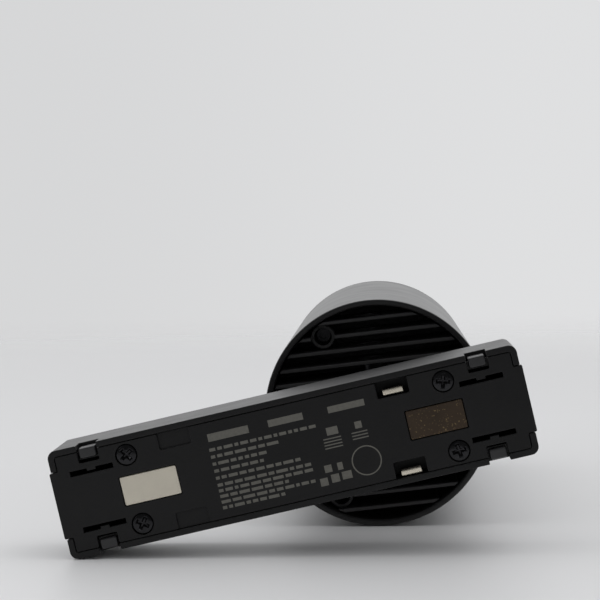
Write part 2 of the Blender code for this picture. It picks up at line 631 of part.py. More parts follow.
def led_mount(parent, finish):
    """A spool that carries heat from the light source back to the fins."""
    neck = 0.0130
    spool = turned("led_mount", [(0.0, MOUNT_START), (SINK_RADIUS, MOUNT_START), (SINK_RADIUS,
                                                                                  MOUNT_FLANGE_END),
                                 (neck, MOUNT_FLANGE_END), (neck, MOUNT_PLATE_START),
                                 (SINK_RADIUS, MOUNT_PLATE_START), (SINK_RADIUS, MOUNT_END),
                                 (0.0, MOUNT_END)],
                   finish, parent, 36)
    holes = bmesh.new()
    for angle in REAR_SCREW_ANGLES:
        x, z = REAR_SCREW_RADIUS * cos(angle), REAR_SCREW_RADIUS * sin(angle)
        add_prism(holes, circle(SCREW_CLEARANCE, 16, x, z), "Y", MOUNT_START - 0.001,
                  REAR_SCREW_END + 0.0004)
    for side in (1, -1):
        add_prism(holes, circle(SCREW_HOLE, 16, 0.0, side * HOLDER_SCREW_Z), "Y", MOUNT_END - 0.0042,
                  MOUNT_END + 0.001)
    add_prism(holes, circle(LEAD_HOLE, 20, LEAD_HOLE_X, 0.0), "Y", MOUNT_START - 0.001,
              MOUNT_FLANGE_END + 0.001)
    add_prism(holes, circle(LEAD_HOLE, 20, LEAD_HOLE_X, 0.0), "Y", MOUNT_PLATE_START - 0.001,
              MOUNT_END + 0.001)
    combine(spool, "DIFFERENCE", "mount_holes", holes, parent)


def light_engine(parent, paint):
    pad_half, cob_half = 0.0098, 0.0095
    prism("thermal_pad", rectangle(-pad_half, pad_half, -pad_half, pad_half), "Y", MOUNT_END + 0.0002,
          MOUNT_END + 0.0007, paint["pad"], parent)
    prism("led_cob", rectangle(-cob_half, cob_half, -cob_half, cob_half), "Y", COB_START, COB_END,
          paint["ceramic"], parent)
    prism("led_phosphor", circle(0.0070, 32), "Y", COB_END + 0.0002, COB_END + 0.0008, paint["phosphor"],
          parent)
    step = COB_END + FIT
    holder = turned("cob_holder", [(0.0150, HOLDER_START), (0.0190, HOLDER_START), (0.0190, HOLDER_END),
                                   (0.0092, HOLDER_END), (0.0088, step), (0.0150, step)],
                    paint["white_plastic"], parent, 32)
    holes = bmesh.new()
    for side in (1, -1):
        add_prism(holes, circle(SCREW_HOLE, 16, 0.0, side * HOLDER_SCREW_Z), "Y", MOUNT_END,
                  HOLDER_END + 0.001)
    combine(holder, "DIFFERENCE", "holder_holes", holes, parent)
    for name, side, finish in (("red", 1, paint["lead_red"]), ("black", -1, paint["lead_black"])):
        z = side * 0.0011
        x = LEAD_HOLE_X
        route = ((x, SLOT_DEPTH + 0.0005, z), (x, SINK_END + 0.0030, z),
                 (x, 0.5 * (SINK_END + MOUNT_END), z),
                 (x, MOUNT_END, z), (x + 0.0006, MOUNT_END + 0.0020, z),
                 (x - 0.0002, MOUNT_END + 0.0032, z),
                 (x - 0.0012, MOUNT_END + 0.0034, z))
        wire(f"lead_{name}_head", route, LEAD_RADIUS, finish, parent)


def reflector(parent, finish):
    """A parabolic bowl from the light source to a flange under the glass."""
    start_radius, end_radius, thick = 0.0095, 0.0250, 0.0010
    steepness = (end_radius ** 2 - start_radius ** 2) / (REFLECTOR_END - REFLECTOR_START)
    apex = REFLECTOR_START - start_radius ** 2 / steepness
    steps = 7
    stations = [REFLECTOR_START + (REFLECTOR_END - REFLECTOR_START) * (k / steps) ** 1.3 for k in range(steps + 1)]
    inside = [(sqrt(steepness * (y - apex)), y) for y in stations]
    outside = [(radius + thick, y) for radius, y in inside[:-1]]
    lip = [(end_radius + thick, REFLECTOR_END - 0.0012), (0.0277, REFLECTOR_END - 0.0012),
           (0.0277, REFLECTOR_END)]
    turned("reflector", outside + lip + inside[::-1], finish, parent, 32)


def front_end(parent, paint):
    turned("front_glass", [(0.0, GLASS_START), (0.0275, GLASS_START), (0.0275, GLASS_END), (0.0,
                                                                                            GLASS_END)],
           paint["glass"], parent)
    turned("glass_gasket", [(0.0256, GLASS_END + FIT), (0.0278, GLASS_END + FIT), (0.0278,
                                                                                   GLASS_END + 0.0012),
                            (0.0256, GLASS_END + 0.0012)], paint["rubber"], parent, 32)
    seat = GLASS_END + 0.0015
    turned("front_bezel", [(0.0252, seat), (SINK_RADIUS, seat), (SINK_RADIUS, TUBE_END + FIT),
                           (HEAD_RADIUS, TUBE_END + FIT), (HEAD_RADIUS, HEAD_LENGTH - 0.0005),
                           (HEAD_RADIUS - 0.0005, HEAD_LENGTH), (0.0272, HEAD_LENGTH)],
           paint["black_paint"], parent, ROUND_SIDES)


# ---------------------------------------------------------------- assembly

def stand_on_origin(root):
    """Moves the whole spotlight so that the middle of its box's floor is the origin."""
    bpy.context.view_layer.update()
    graph = bpy.context.evaluated_depsgraph_get()
    corners = []
    for piece in bpy.context.scene.objects:
        if piece.type in ("MESH", "CURVE") and not piece.hide_render:
            shape = piece.evaluated_get(graph).to_mesh()
            corners += [piece.matrix_world @ vertex.co for vertex in shape.vertices]
            piece.evaluated_get(graph).to_mesh_clear()
    low = Vector([min(c[k] for c in corners) for k in range(3)])
    high = Vector([max(c[k] for c in corners) for k in range(3)])
    root.location -= Vector(((low.x + high.x) / 2, (low.y + high.y) / 2, low.z))


def main():
    clear_scene()
    paint = {
        "black_plastic": material("black_plastic", (0.012, 0.012, 0.013), 0.45),
        "black_paint": material("black_paint", (0.014, 0.014, 0.015), 0.42),
        "black_anodised": material("black_anodised", (0.010, 0.010, 0.011), 0.50),
        "black_steel": material("black_steel", (0.015, 0.015, 0.016), 0.35, 0.6),
        "steel": material("steel", (0.55, 0.55, 0.56), 0.30, 1.0),
        "magnet_bright": material("magnet_bright", (0.62, 0.56, 0.48), 0.25, 1.0),
        "magnet_film": material("magnet_film", (0.16, 0.10, 0.05), 0.35, 0.7),
        "brass": material("brass", (0.75, 0.66, 0.45), 0.28, 1.0),
        "board": material("board", (0.02, 0.16, 0.06), 0.45),
        "ferrite": material("ferrite", (0.05, 0.05, 0.055), 0.60),
        "capacitor": material("capacitor", (0.03, 0.04, 0.10), 0.35),
        "chip": material("chip", (0.02, 0.02, 0.02), 0.55),
        "white_plastic": material("white_plastic", (0.80, 0.80, 0.78), 0.45),
        "lead_red": material("lead_red", (0.60, 0.03, 0.02), 0.45),
        "lead_black": material("lead_black", (0.02, 0.02, 0.02), 0.45),
        "pad": material("pad", (0.45, 0.47, 0.50), 0.80),
        "ceramic": material("ceramic", (0.85, 0.85, 0.82), 0.40),
        "phosphor": material("phosphor", (0.90, 0.70, 0.12), 0.50),
        "mirror": material("mirror", (0.90, 0.90, 0.91), 0.12, 1.0),
        "aluminium": material("aluminium", (0.60, 0.61, 0.62), 0.35, 1.0),
        "glass": material("glass", (0.90, 0.93, 0.93), 0.03),
        "rubber": material("rubber", (0.03, 0.03, 0.03), 0.70),
    }
    root = carrier("spotlight", (0.0, 0.0, 0.0), 0.0, None)
    adapter = carrier("adapter_axis", (0.0, 0.0, HEAD_RADIUS), ADAPTER_ROLL, root)
    arm_axis = carrier("arm_axis", (0.0, 0.0, HEAD_RADIUS), HEAD_ROLL, root)
    head = carrier("tilt_axis", (0.0, PIVOT_Y, 0.0), 0.0, arm_axis, (0.0, PIVOT_Y, 0.0))

    adapter_housing(adapter, paint["black_plastic"])
    adapter_cover(adapter, paint["black_plastic"])
    cover_screws(adapter, paint["black_steel"])
    magnets(adapter, paint["magnet_bright"], paint["magnet_film"], paint["black_plastic"])
    latches(adapter, paint["black_plastic"], paint["steel"])
    contacts(adapter, paint["brass"])
    driver(adapter, paint)

    swivel(arm_axis, paint)
    arm(arm_axis, paint["black_paint"])

    head_housing(head, paint["black_paint"])
    heat_sink(head, paint["black_anodised"])
    head_screws(head, paint["black_steel"])
    pivot(head, paint["black_steel"], paint["white_plastic"])
    led_mount(head, paint["aluminium"])
    light_engine(head, paint)
    reflector(head, paint["mirror"])
    front_end(head, paint)

    stand_on_origin(root)


main()
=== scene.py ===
"""Looks of the track spotlight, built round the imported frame.

Shapes are drawn in millimetres in the spotlight's own coordinates: the origin is where the swivel
axis meets the plane of the rear rim, y runs forward along the head, x to the right and z up. The
adapter and the head each have their own roll about that axis, read from the frame's joints.
"""

import json
import random
from math import asin, cos, pi, radians, sin, sqrt, tau

import bmesh
import bpy
from mathutils import Matrix, Vector


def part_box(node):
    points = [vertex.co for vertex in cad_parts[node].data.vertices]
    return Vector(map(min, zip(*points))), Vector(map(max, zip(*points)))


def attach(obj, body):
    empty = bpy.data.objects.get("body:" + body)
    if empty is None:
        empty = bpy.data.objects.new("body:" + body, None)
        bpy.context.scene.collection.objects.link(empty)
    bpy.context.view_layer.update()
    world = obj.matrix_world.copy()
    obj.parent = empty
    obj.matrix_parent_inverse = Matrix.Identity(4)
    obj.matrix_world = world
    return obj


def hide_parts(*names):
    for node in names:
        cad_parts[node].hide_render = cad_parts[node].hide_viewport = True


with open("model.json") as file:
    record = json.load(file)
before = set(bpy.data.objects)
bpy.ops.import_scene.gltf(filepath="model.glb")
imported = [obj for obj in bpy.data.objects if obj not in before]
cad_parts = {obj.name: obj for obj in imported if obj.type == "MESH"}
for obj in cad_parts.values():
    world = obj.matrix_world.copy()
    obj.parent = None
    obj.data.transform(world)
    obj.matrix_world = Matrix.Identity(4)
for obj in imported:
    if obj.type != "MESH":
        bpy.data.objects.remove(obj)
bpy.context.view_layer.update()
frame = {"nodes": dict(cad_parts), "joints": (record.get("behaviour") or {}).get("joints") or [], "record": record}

MM = 0.001
GAP = 0.3
JOINTS = {joint["name"]: joint for joint in frame["joints"]}
AXIS = Vector(JOINTS["swivel"]["pos_m"])
REAR_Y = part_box("head_housing")[0].y
HEAD_ROLL = asin(JOINTS["tilt"]["axis"][0])
ADAPTER_ROLL = asin(JOINTS["latch_1_press"]["axis"][0])
PIVOT_Y = (JOINTS["tilt"]["pos_m"][1] - REAR_Y) / MM


def roll_frame(roll):
    return Matrix.Translation((AXIS.x, REAR_Y, AXIS.z)) @ Matrix.Rotation(-roll, 4, "Y")


ADAPTER = roll_frame(ADAPTER_ROLL)
HEAD = roll_frame(HEAD_ROLL)

# Adapter, in millimetres
FACE_Y = (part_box("adapter_housing")[0].y - REAR_Y) / MM
BACK_Y = (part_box("adapter_housing")[1].y - REAR_Y) / MM
LEFT_X = -79.5
RIGHT_X = 36.8
HALF_WIDTH = 13.5
CASE_WALL = 1.5
BACK_WALL = 1.8
CORNER = 2.0
COVER_TOP = FACE_Y + 0.2
COVER_BACK = COVER_TOP + 2.2
COVER_EDGE = CASE_WALL + 0.15
TONGUE_HALF = 8.2
LATCH_X = (-69.7, 27.0)
LATCH_Z = 11.35
LATCH_HALF = (2.1, 1.3)
LATCH_WINDOW = (2.55, 9.05)
LATCH_SLOT = 6.2
SLIT_X = (1.1, 5.35)
SLIT_Z = (6.3, 7.6)
SCREW_X = (-60.6, 18.0)
SCREW_Z = 8.6
SCREW_HOLE = 1.5
SCREW_SEAT = 2.7
SCREW_HEAD = 2.5
SCREW_SHANK = 1.2
SCREW_LENGTH = 9.5
BOSS_RADIUS = 3.0
MAGNET_X = (-56.6, 14.4)
MAGNET_HALF = (7.0, 3.5)
MAGNET_FIT = 0.2
MAGNET_THICK = 4.0
CONTACT_X = (-48.4, 5.7)
CONTACT_Z = (9.0, -11.0)
CONTACT_HALF = (2.45, 0.65)
RECESS = (3.9, 7.9)
POCKET_DEPTH = 0.6
STOP_RADIUS = 9.5
STOP_ANGLE = radians(165) + 1.1 / STOP_RADIUS
STOP_PIN_END = BACK_Y + 3.0

# Arm, in millimetres
STEM_RADIUS = 3.5
STEM_BORE = 2.2
STEM_END = BACK_Y + 6.0
BASE_RADIUS = 12.0
BASE_START = BACK_Y + 1.6
BASE_END = BACK_Y + 4.0
COLLAR_RADIUS = 4.9
COLLAR_END = STEM_END + 1.3
ARM_HALF_WIDTH = 7.0
ARM_HALF_THICK = 3.8
PIVOT_HOLE = 2.3

# Head, in millimetres
HEAD_RADIUS = 30.0
INNER_RADIUS = 28.4
SINK_RADIUS = 28.1
TUBE_END = (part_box("head_housing")[1].y - REAR_Y) / MM
HEAD_END = (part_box("front_bezel")[1].y - REAR_Y) / MM
GLASS_START = (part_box("front_glass")[0].y - REAR_Y) / MM
GLASS_END = (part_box("front_glass")[1].y - REAR_Y) / MM
FIN_TOP = 0.8
FIN_PITCH = 3.85
FIN_HALF = 0.52
FIN_PAIRS = 7
SINK_BASE = 24.0
SINK_END = 29.0
SLOT_HALF = 4.95
SLOT_DEPTH = 20.0
SLOT_BACK = -7.8
REAR_SCREWS = [(24.7 * cos(radians(a)), 24.7 * sin(radians(a))) for a in (120, 240)]
REAR_SCREW_SEAT = 15.0
REAR_BOSS_START = 4.5
REAR_BOSS_RADIUS = 3.2
REAR_BORE = 2.35
REAR_SCREW_END = SINK_END + 4.8
SCREW_CLEARANCE = 1.6
LEAD_HOLE = (21.0, 2.6)
MOUNT_END = (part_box("led_mount")[1].y - REAR_Y) / MM
HOLDER_SCREW_Z = 16.8
HOLDER_END = MOUNT_END + 5.6


# ---------------------------------------------------------------- outlines

def rectangle(a0, a1, b0, b1):
    return [(a0, b0), (a1, b0), (a1, b1), (a0, b1)]


def rounded_rectangle(a0, a1, b0, b1, radius, steps=4):
    corners = ((a1 - radius, b1 - radius), (a0 + radius, b1 - radius),
               (a0 + radius, b0 + radius), (a1 - radius, b0 + radius))
    points = []
    for quarter, (a, b) in enumerate(corners):
        for step in range(steps + 1):
            angle = (quarter + step / steps) * pi / 2
            points.append((a + radius * cos(angle), b + radius * sin(angle)))
    return points


def circle(radius, sides, a=0.0, b=0.0, turn=0.37):
    angles = [tau * (k + turn) / sides for k in range(sides)]
    return [(a + radius * cos(t), b + radius * sin(t)) for t in angles]


def arc(a, b, radius, start, end, steps):
    angles = [start + (end - start) * k / steps for k in range(steps + 1)]
    return [(a + radius * cos(t), b + radius * sin(t)) for t in angles]


def round_corners(points, radius, steps=3):
    """Rounds each corner of a closed outline with a short curve."""
    rounded = []
    for before, corner, after in zip(points[-1:] + points[:-1], points, points[1:] + points[:1]):
        corner_v, before_v, after_v = Vector(corner), Vector(before), Vector(after)
        reach = min(radius, (before_v - corner_v).length / 2.01, (after_v - corner_v).length / 2.01)
        start = corner_v + (before_v - corner_v).normalized() * reach
        end = corner_v + (after_v - corner_v).normalized() * reach
        for step in range(steps + 1):
            t = step / steps
            rounded.append(tuple(start * (1 - t) ** 2 + corner_v * 2 * t * (1 - t) + end * t ** 2))
    return rounded


# ---------------------------------------------------------------- meshes

def place(a, b, t, axis):
    """An outline's point (a, b) at height t along the axis, in metres."""
    if axis == "Y":
        point = (a, t, b)
    elif axis == "Z":
        point = (a, b, t)
    else:
        point = (t, a, b)
    return Vector(point) * MM


def add_prism(mesh, outline, axis, low, high):
    bottom = [mesh.verts.new(place(a, b, low, axis)) for a, b in outline]
    face = mesh.faces.new(bottom)
    swept = bmesh.ops.extrude_face_region(mesh, geom=[face])
    moved = [g for g in swept["geom"] if isinstance(g, bmesh.types.BMVert)]
    bmesh.ops.translate(mesh, verts=moved, vec=place(0, 0, high - low, axis))


def add_loft(mesh, rings, axis):
    """Closed skin through rings of equal length: each ring is (outline, height)."""
    loops = [[mesh.verts.new(place(a, b, t, axis)) for a, b in outline] for outline, t in rings]
    mesh.faces.new(loops[0])
    mesh.faces.new(loops[-1])
    for lower, upper in zip(loops, loops[1:]):
        for k, vertex in enumerate(lower):
            after = (k + 1) % len(lower)
            mesh.faces.new((vertex, lower[after], upper[after], upper[k]))


def add_turned(mesh, profile, sides, a=0.0, b=0.0):
    """Turns a closed section of (radius, y) corners about the y axis; a and b are not used."""
    ring = [mesh.verts.new(Vector((radius, y, 0.0)) * MM) for radius, y in profile]
    edges = []
    for first, second in zip(ring, ring[1:] + ring[:1]):
        if first.co.x > 0 or second.co.x > 0:
            edges.append(mesh.edges.new((first, second)))
    made = bmesh.ops.spin(mesh, geom=ring + edges, cent=(0, 0, 0), axis=(0, 1, 0),
                          angle=tau, steps=sides, use_merge=True)
    bmesh.ops.remove_doubles(mesh, verts=mesh.verts, dist=1e-7)
    return made


def solid(name, mesh, finish, frame_at, sharp=35):
    bmesh.ops.recalc_face_normals(mesh, faces=mesh.faces)
    data = bpy.data.meshes.new(name)
    mesh.to_mesh(data)
    mesh.free()
    data.shade_smooth()
    data.set_sharp_from_angle(angle=radians(sharp))
    if finish:
        data.materials.append(finish)
    made = bpy.data.objects.new(name, data)
    bpy.context.scene.collection.objects.link(made)
    made.matrix_world = frame_at
    return made


def prism(name, outline, axis, low, high, finish, frame_at):
    mesh = bmesh.new()
    add_prism(mesh, outline, axis, low, high)
    return solid(name, mesh, finish, frame_at)


def turned(name, profile, finish, frame_at, sides=128, sharp=35):
    mesh = bmesh.new()
    add_turned(mesh, profile, sides)
    return solid(name, mesh, finish, frame_at, sharp)


def bake_modifiers(target):
    """Replaces an object's mesh with its evaluated one."""
    bpy.context.view_layer.update()
    graph = bpy.context.evaluated_depsgraph_get()
    made = bpy.data.meshes.new_from_object(target.evaluated_get(graph))
    target.modifiers.clear()
    target.data = made


def combine(target, operation, mesh):
    """Joins or cuts the target with a guide solid in the same coordinates, then drops the guide."""
    guide = solid("guide", mesh, None, target.matrix_world)
    modifier = target.modifiers.new("combine", "BOOLEAN")
    modifier.operation = operation
    modifier.object = guide
    modifier.solver = "EXACT"
    bake_modifiers(target)
    bpy.data.objects.remove(guide, do_unlink=True)


def soften(target, width, segments=2, angle=35, sharp=40):
    """Rounds the edges and keeps the flats flat in the shading."""
    bevel = target.modifiers.new("rounding", "BEVEL")
    bevel.width = width * MM
    bevel.segments = segments
    bevel.limit_method = "ANGLE"
    bevel.angle_limit = radians(angle)
    bevel.use_clamp_overlap = True
    bevel.miter_outer = "MITER_ARC"
    bake_modifiers(target)
    flat_normals(target, sharp)


def flat_normals(target, sharp=40):
    target.data.shade_smooth()
    target.data.set_sharp_from_angle(angle=radians(sharp))
    weighted = target.modifiers.new("normals", "WEIGHTED_NORMAL")
    weighted.keep_sharp = True


def plate(name, outlines, low, high, rounding, finish, frame_at, resolution=2):
    """A flat piece across y from a filled outline and its holes, with every edge rounded alike."""
    curve = bpy.data.curves.new(name, "CURVE")
    curve.dimensions = "2D"
    curve.fill_mode = "BOTH"
    curve.extrude = ((high - low) / 2 - rounding) * MM
    curve.bevel_depth = rounding * MM
    curve.bevel_resolution = resolution
    curve.offset = -rounding * MM
    for number, outline in enumerate(outlines):
        area = sum(a[0] * b[1] - b[0] * a[1] for a, b in zip(outline, outline[1:] + outline[:1]))
        wanted = 1 if number == 0 else -1
        points = outline if area * wanted > 0 else outline[::-1]
        spline = curve.splines.new("POLY")
        spline.points.add(len(points) - 1)
        for target, (a, b) in zip(spline.points, points):
            target.co = (a * MM, b * MM, 0.0, 1.0)
        spline.use_cyclic_u = True
    guide = bpy.data.objects.new(name, curve)
    bpy.context.scene.collection.objects.link(guide)
    bpy.context.view_layer.update()
    data = bpy.data.meshes.new_from_object(guide.evaluated_get(bpy.context.evaluated_depsgraph_get()))
    bpy.data.objects.remove(guide, do_unlink=True)
    mesh = bmesh.new()
    mesh.from_mesh(data)
    bpy.data.meshes.remove(data)
    middle = (low + high) / 2 * MM
    for vertex in mesh.verts:
        vertex.co = Vector((vertex.co.x, middle + vertex.co.z, vertex.co.y))
    bmesh.ops.remove_doubles(mesh, verts=mesh.verts, dist=1e-7)
    bmesh.ops.dissolve_limit(mesh, angle_limit=radians(0.5), verts=mesh.verts, edges=mesh.edges)
    made = solid(name, mesh, finish, frame_at)
    flat_normals(made, 50)
    return made


def joined(name, pieces):
    """One object out of several that share a frame and a finish."""
    mesh = bmesh.new()
    for piece in pieces:
        mesh.from_mesh(piece.data)
    made = solid(name, mesh, pieces[0].data.materials[0], pieces[0].matrix_world)
    for piece in pieces:
        bpy.data.objects.remove(piece, do_unlink=True)
    flat_normals(made, 50)
    return made


def belongs(piece, body, slot, *nodes):
    """Says which body a piece rides on and which CAD nodes it stands for; the slot argument is not used."""
    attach(piece, body)
    if nodes:
        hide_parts(*nodes)


# ---------------------------------------------------------------- materials

def surface(name, colour, roughness, metallic=0.0, spread=0.15, patch=60.0, grain=2500.0, depth=0.02,
            rough_spread=0.06, **constants):
    """A Principled surface with mottled colour, uneven roughness and a fine grain."""
    made = bpy.data.materials.new(name)
    made.use_nodes = True
    nodes, links = made.node_tree.nodes, made.node_tree.links
    shader = nodes["Principled BSDF"]
    shader.inputs["Metallic"].default_value = metallic
    for socket, value in constants.items():
        shader.inputs[socket.replace("_", " ")].default_value = value
    where = nodes.new("ShaderNodeTexCoord")
    mottle = nodes.new("ShaderNodeTexNoise")
    mottle.inputs["Scale"].default_value = patch
    mottle.inputs["Detail"].default_value = 6.0
    links.new(where.outputs["Object"], mottle.inputs["Vector"])
    tint = nodes.new("ShaderNodeMix")
    tint.data_type = "RGBA"
    tint.inputs["A"].default_value = (*[c * (1 - spread) for c in colour], 1.0)
    tint.inputs["B"].default_value = (*[min(1.0, c * (1 + spread)) for c in colour], 1.0)
    links.new(mottle.outputs["Fac"], tint.inputs["Factor"])
    links.new(tint.outputs["Result"], shader.inputs["Base Color"])
    fine = nodes.new("ShaderNodeTexNoise")
    fine.inputs["Scale"].default_value = grain
    fine.inputs["Detail"].default_value = 3.0
    links.new(where.outputs["Object"], fine.inputs["Vector"])
    rough = nodes.new("ShaderNodeMapRange")
    rough.inputs["To Min"].default_value = max(0.02, roughness - rough_spread)
    rough.inputs["To Max"].default_value = roughness + rough_spread
    links.new(mottle.outputs["Fac"], rough.inputs["Value"])
    links.new(rough.outputs["Result"], shader.inputs["Roughness"])
    bump = nodes.new("ShaderNodeBump")
    bump.inputs["Strength"].default_value = 1.0
    bump.inputs["Distance"].default_value = depth * MM
    links.new(fine.outputs["Fac"], bump.inputs["Height"])
    links.new(bump.outputs["Normal"], shader.inputs["Normal"])
    return made


def speckled(name, base, fleck, roughness, metallic, cell=900.0, share=0.18):
    """A dark plated film with scattered bright flecks."""
    made = surface(name, base, roughness, metallic, spread=0.35, patch=180.0, depth=0.004)
    nodes, links = made.node_tree.nodes, made.node_tree.links
    shader = nodes["Principled BSDF"]
    tint = next(node for node in nodes if node.bl_idname == "ShaderNodeMix")
    where = next(node for node in nodes if node.bl_idname == "ShaderNodeTexCoord")
    grains = nodes.new("ShaderNodeTexNoise")
    grains.inputs["Scale"].default_value = cell
    grains.inputs["Detail"].default_value = 4.0
    links.new(where.outputs["Object"], grains.inputs["Vector"])
    keep = nodes.new("ShaderNodeMapRange")
    keep.inputs["From Min"].default_value = 0.5 + share
    keep.inputs["From Max"].default_value = 0.56 + share
    links.new(grains.outputs["Fac"], keep.inputs["Value"])
    mix = nodes.new("ShaderNodeMix")
    mix.data_type = "RGBA"
    mix.inputs["B"].default_value = (*fleck, 1.0)
    links.new(keep.outputs["Result"], mix.inputs["Factor"])
    links.new(tint.outputs["Result"], mix.inputs["A"])
    links.new(mix.outputs["Result"], shader.inputs["Base Color"])
    return made


def brushed(name, colour, roughness, direction=(1.0, 60.0, 60.0)):
    """Bare metal with fine drawing lines along one axis."""
    made = surface(name, colour, roughness, 1.0, spread=0.08, depth=0.003)
    nodes, links = made.node_tree.nodes, made.node_tree.links
    where = next(node for node in nodes if node.bl_idname == "ShaderNodeTexCoord")
    stretch = nodes.new("ShaderNodeMapping")
    stretch.inputs["Scale"].default_value = direction
    links.new(where.outputs["Object"], stretch.inputs["Vector"])
    fine = [node for node in nodes if node.bl_idname == "ShaderNodeTexNoise"][1]
    links.new(stretch.outputs["Vector"], fine.inputs["Vector"])
    return made


def clear_glass(name):
    made = surface(name, (0.96, 0.98, 0.98), 0.03, 0.0, spread=0.01, depth=0.0002, rough_spread=0.01,
                   Transmission_Weight=1.0, IOR=1.45)
    return made


PAINT = {
    "black_plastic": surface("moulded_black", (0.0044, 0.0044, 0.0047), 0.43, spread=0.30, patch=140.0,
                             grain=2600.0, depth=0.022, Specular_IOR_Level=0.32),
    "black_paint": surface("powder_black", (0.0065, 0.0065, 0.0068), 0.40, spread=0.15, patch=70.0,
                           grain=1700.0, depth=0.014),
    # painted light: a lighter copy of the black moulded plastic that makes the catches' faces look lit; the
    # catches are the same black plastic as the cover
    "latch_plastic_painted_lit": surface("catch_black_painted_lit", (0.0190, 0.0190, 0.0198), 0.36, spread=0.20, patch=300.0,
                             grain=2600.0, depth=0.012, Specular_IOR_Level=0.45),
    "black_heat_sink": surface("cast_black", (0.0170, 0.0170, 0.0175), 0.42, spread=0.25, patch=120.0,
                               grain=1500.0, depth=0.022),
    "black_steel": surface("black_oxide", (0.030, 0.030, 0.032), 0.24, 0.90, spread=0.35, patch=900.0,
                           depth=0.006),
    "steel": brushed("zinc_steel", (0.56, 0.56, 0.57), 0.30),
    "magnet_bright": surface("nickel_plate", (0.60, 0.56, 0.47), 0.36, 0.50, spread=0.10, patch=260.0,
                             grain=900.0, depth=0.004),
    "magnet_film": speckled("film_plate", (0.038, 0.024, 0.013), (0.17, 0.12, 0.055), 0.40, 0.45, 2200.0,
                            0.125),
    "contact_metal": surface("tin_plate", (0.80, 0.74, 0.62), 0.24, 0.75, spread=0.08, patch=400.0,
                             depth=0.003),
    "circuit_board": surface("solder_mask", (0.02, 0.13, 0.05), 0.34, spread=0.12, patch=400.0, depth=0.006),
    "ferrite": surface("ferrite", (0.045, 0.045, 0.05), 0.55, spread=0.2, patch=500.0, depth=0.02),
    "capacitor_sleeve": surface("sleeve", (0.02, 0.03, 0.09), 0.30, spread=0.1, patch=200.0, depth=0.004),
    "chip_black": surface("chip", (0.02, 0.02, 0.02), 0.55, spread=0.2, patch=900.0, depth=0.008),
    "white_plastic": surface("moulded_white", (0.78, 0.78, 0.75), 0.42, spread=0.03, patch=150.0,
                             depth=0.006),
    "lead_red": surface("lead_red", (0.50, 0.03, 0.02), 0.40, spread=0.08, patch=300.0, depth=0.003),
    "lead_black": surface("lead_black", (0.02, 0.02, 0.02), 0.40, spread=0.1, patch=300.0, depth=0.003),
    "aluminium": brushed("turned_aluminium", (0.62, 0.63, 0.64), 0.28, (60.0, 1.0, 60.0)),
    "thermal_pad": surface("pad", (0.42, 0.44, 0.47), 0.8, spread=0.08, patch=700.0, depth=0.01),
    "ceramic": surface("ceramic", (0.82, 0.82, 0.78), 0.35, spread=0.02, patch=300.0, depth=0.002),
    "phosphor": surface("phosphor", (0.88, 0.66, 0.10), 0.45, spread=0.05, patch=900.0, depth=0.01,
                        Subsurface_Weight=0.15),
    "reflector_mirror": surface("reflector_mirror", (0.88, 0.88, 0.89), 0.10, 1.0, spread=0.02, patch=200.0,
                                depth=0.0006, rough_spread=0.02),
    "clear_glass": clear_glass("front_glass_clear"),
    "seal_rubber": surface("seal_rubber", (0.02, 0.02, 0.02), 0.7, spread=0.1, patch=300.0, depth=0.01),
}
PRINT = surface("pad_print", (0.090, 0.087, 0.075), 0.55, spread=0.30, patch=1400.0, grain=3000.0,
                depth=0.004)


# ---------------------------------------------------------------- adapter

def adapter_shell():
    outline = rounded_rectangle(LEFT_X, RIGHT_X, -HALF_WIDTH, HALF_WIDTH, CORNER, 8)
    shell = prism("adapter_shell", outline, "Y", FACE_Y, BACK_Y, PAINT["black_plastic"], ADAPTER)
    cavity = bmesh.new()
    add_prism(cavity, rounded_rectangle(LEFT_X + CASE_WALL, RIGHT_X - CASE_WALL, CASE_WALL - HALF_WIDTH,
                                        HALF_WIDTH - CASE_WALL, 0.8, 4), "Y", FACE_Y - 2, BACK_Y - BACK_WALL)
    combine(shell, "DIFFERENCE", cavity)
    openings = bmesh.new()
    for x in LATCH_X:
        for side in (-1, 1):
            low, high = sorted((side * (HALF_WIDTH - CASE_WALL - 0.5), side * (HALF_WIDTH + 1)))
            half = LATCH_WINDOW[0]
            add_prism(openings, rectangle(x - half, x + half, low, high), "Y", FACE_Y - 1,
                      FACE_Y + LATCH_SLOT)
    for x in (LEFT_X, RIGHT_X):
        tongue = TONGUE_HALF + 0.2
        add_prism(openings, rectangle(x - 1.7, x + 1.7, -tongue, tongue), "Y", FACE_Y - 1, COVER_BACK + GAP)
    add_prism(openings, circle(STEM_RADIUS + GAP, 48), "Y", BACK_Y - 4, BACK_Y + 2)
    combine(shell, "DIFFERENCE", openings)
    groove = bmesh.new()
    band = arc(0, 0, STOP_RADIUS + 1.2, pi / 2 - STOP_ANGLE, pi / 2 + STOP_ANGLE, 72)
    band += arc(0, 0, STOP_RADIUS - 1.2, pi / 2 + STOP_ANGLE, pi / 2 - STOP_ANGLE, 72)
    add_prism(groove, band, "Y", BACK_Y - 1, BACK_Y + 2)
    combine(shell, "DIFFERENCE", groove)
    soften(shell, 0.22, 3)
    bosses = bmesh.new()
    for x in SCREW_X:
        for side in (-1, 1):
            add_turned_boss(bosses, x, side * SCREW_Z)
    boss = solid("bosses", bosses, PAINT["black_plastic"], ADAPTER)
    shell = joined("adapter_shell", [shell, boss])
    belongs(shell, "adapter", "black_plastic", "adapter_housing")


def add_turned_boss(mesh, x, z):
    """A screw boss with a blind hole, standing on the back wall."""
    outer, hole = circle(BOSS_RADIUS, 32, x, z), circle(SCREW_HOLE, 32, x, z)
    rim = COVER_BACK + GAP
    add_loft(mesh, [(outer, BACK_Y - 1.0), (outer, rim), (hole, rim), (hole, COVER_BACK + 8.5)], "Y")


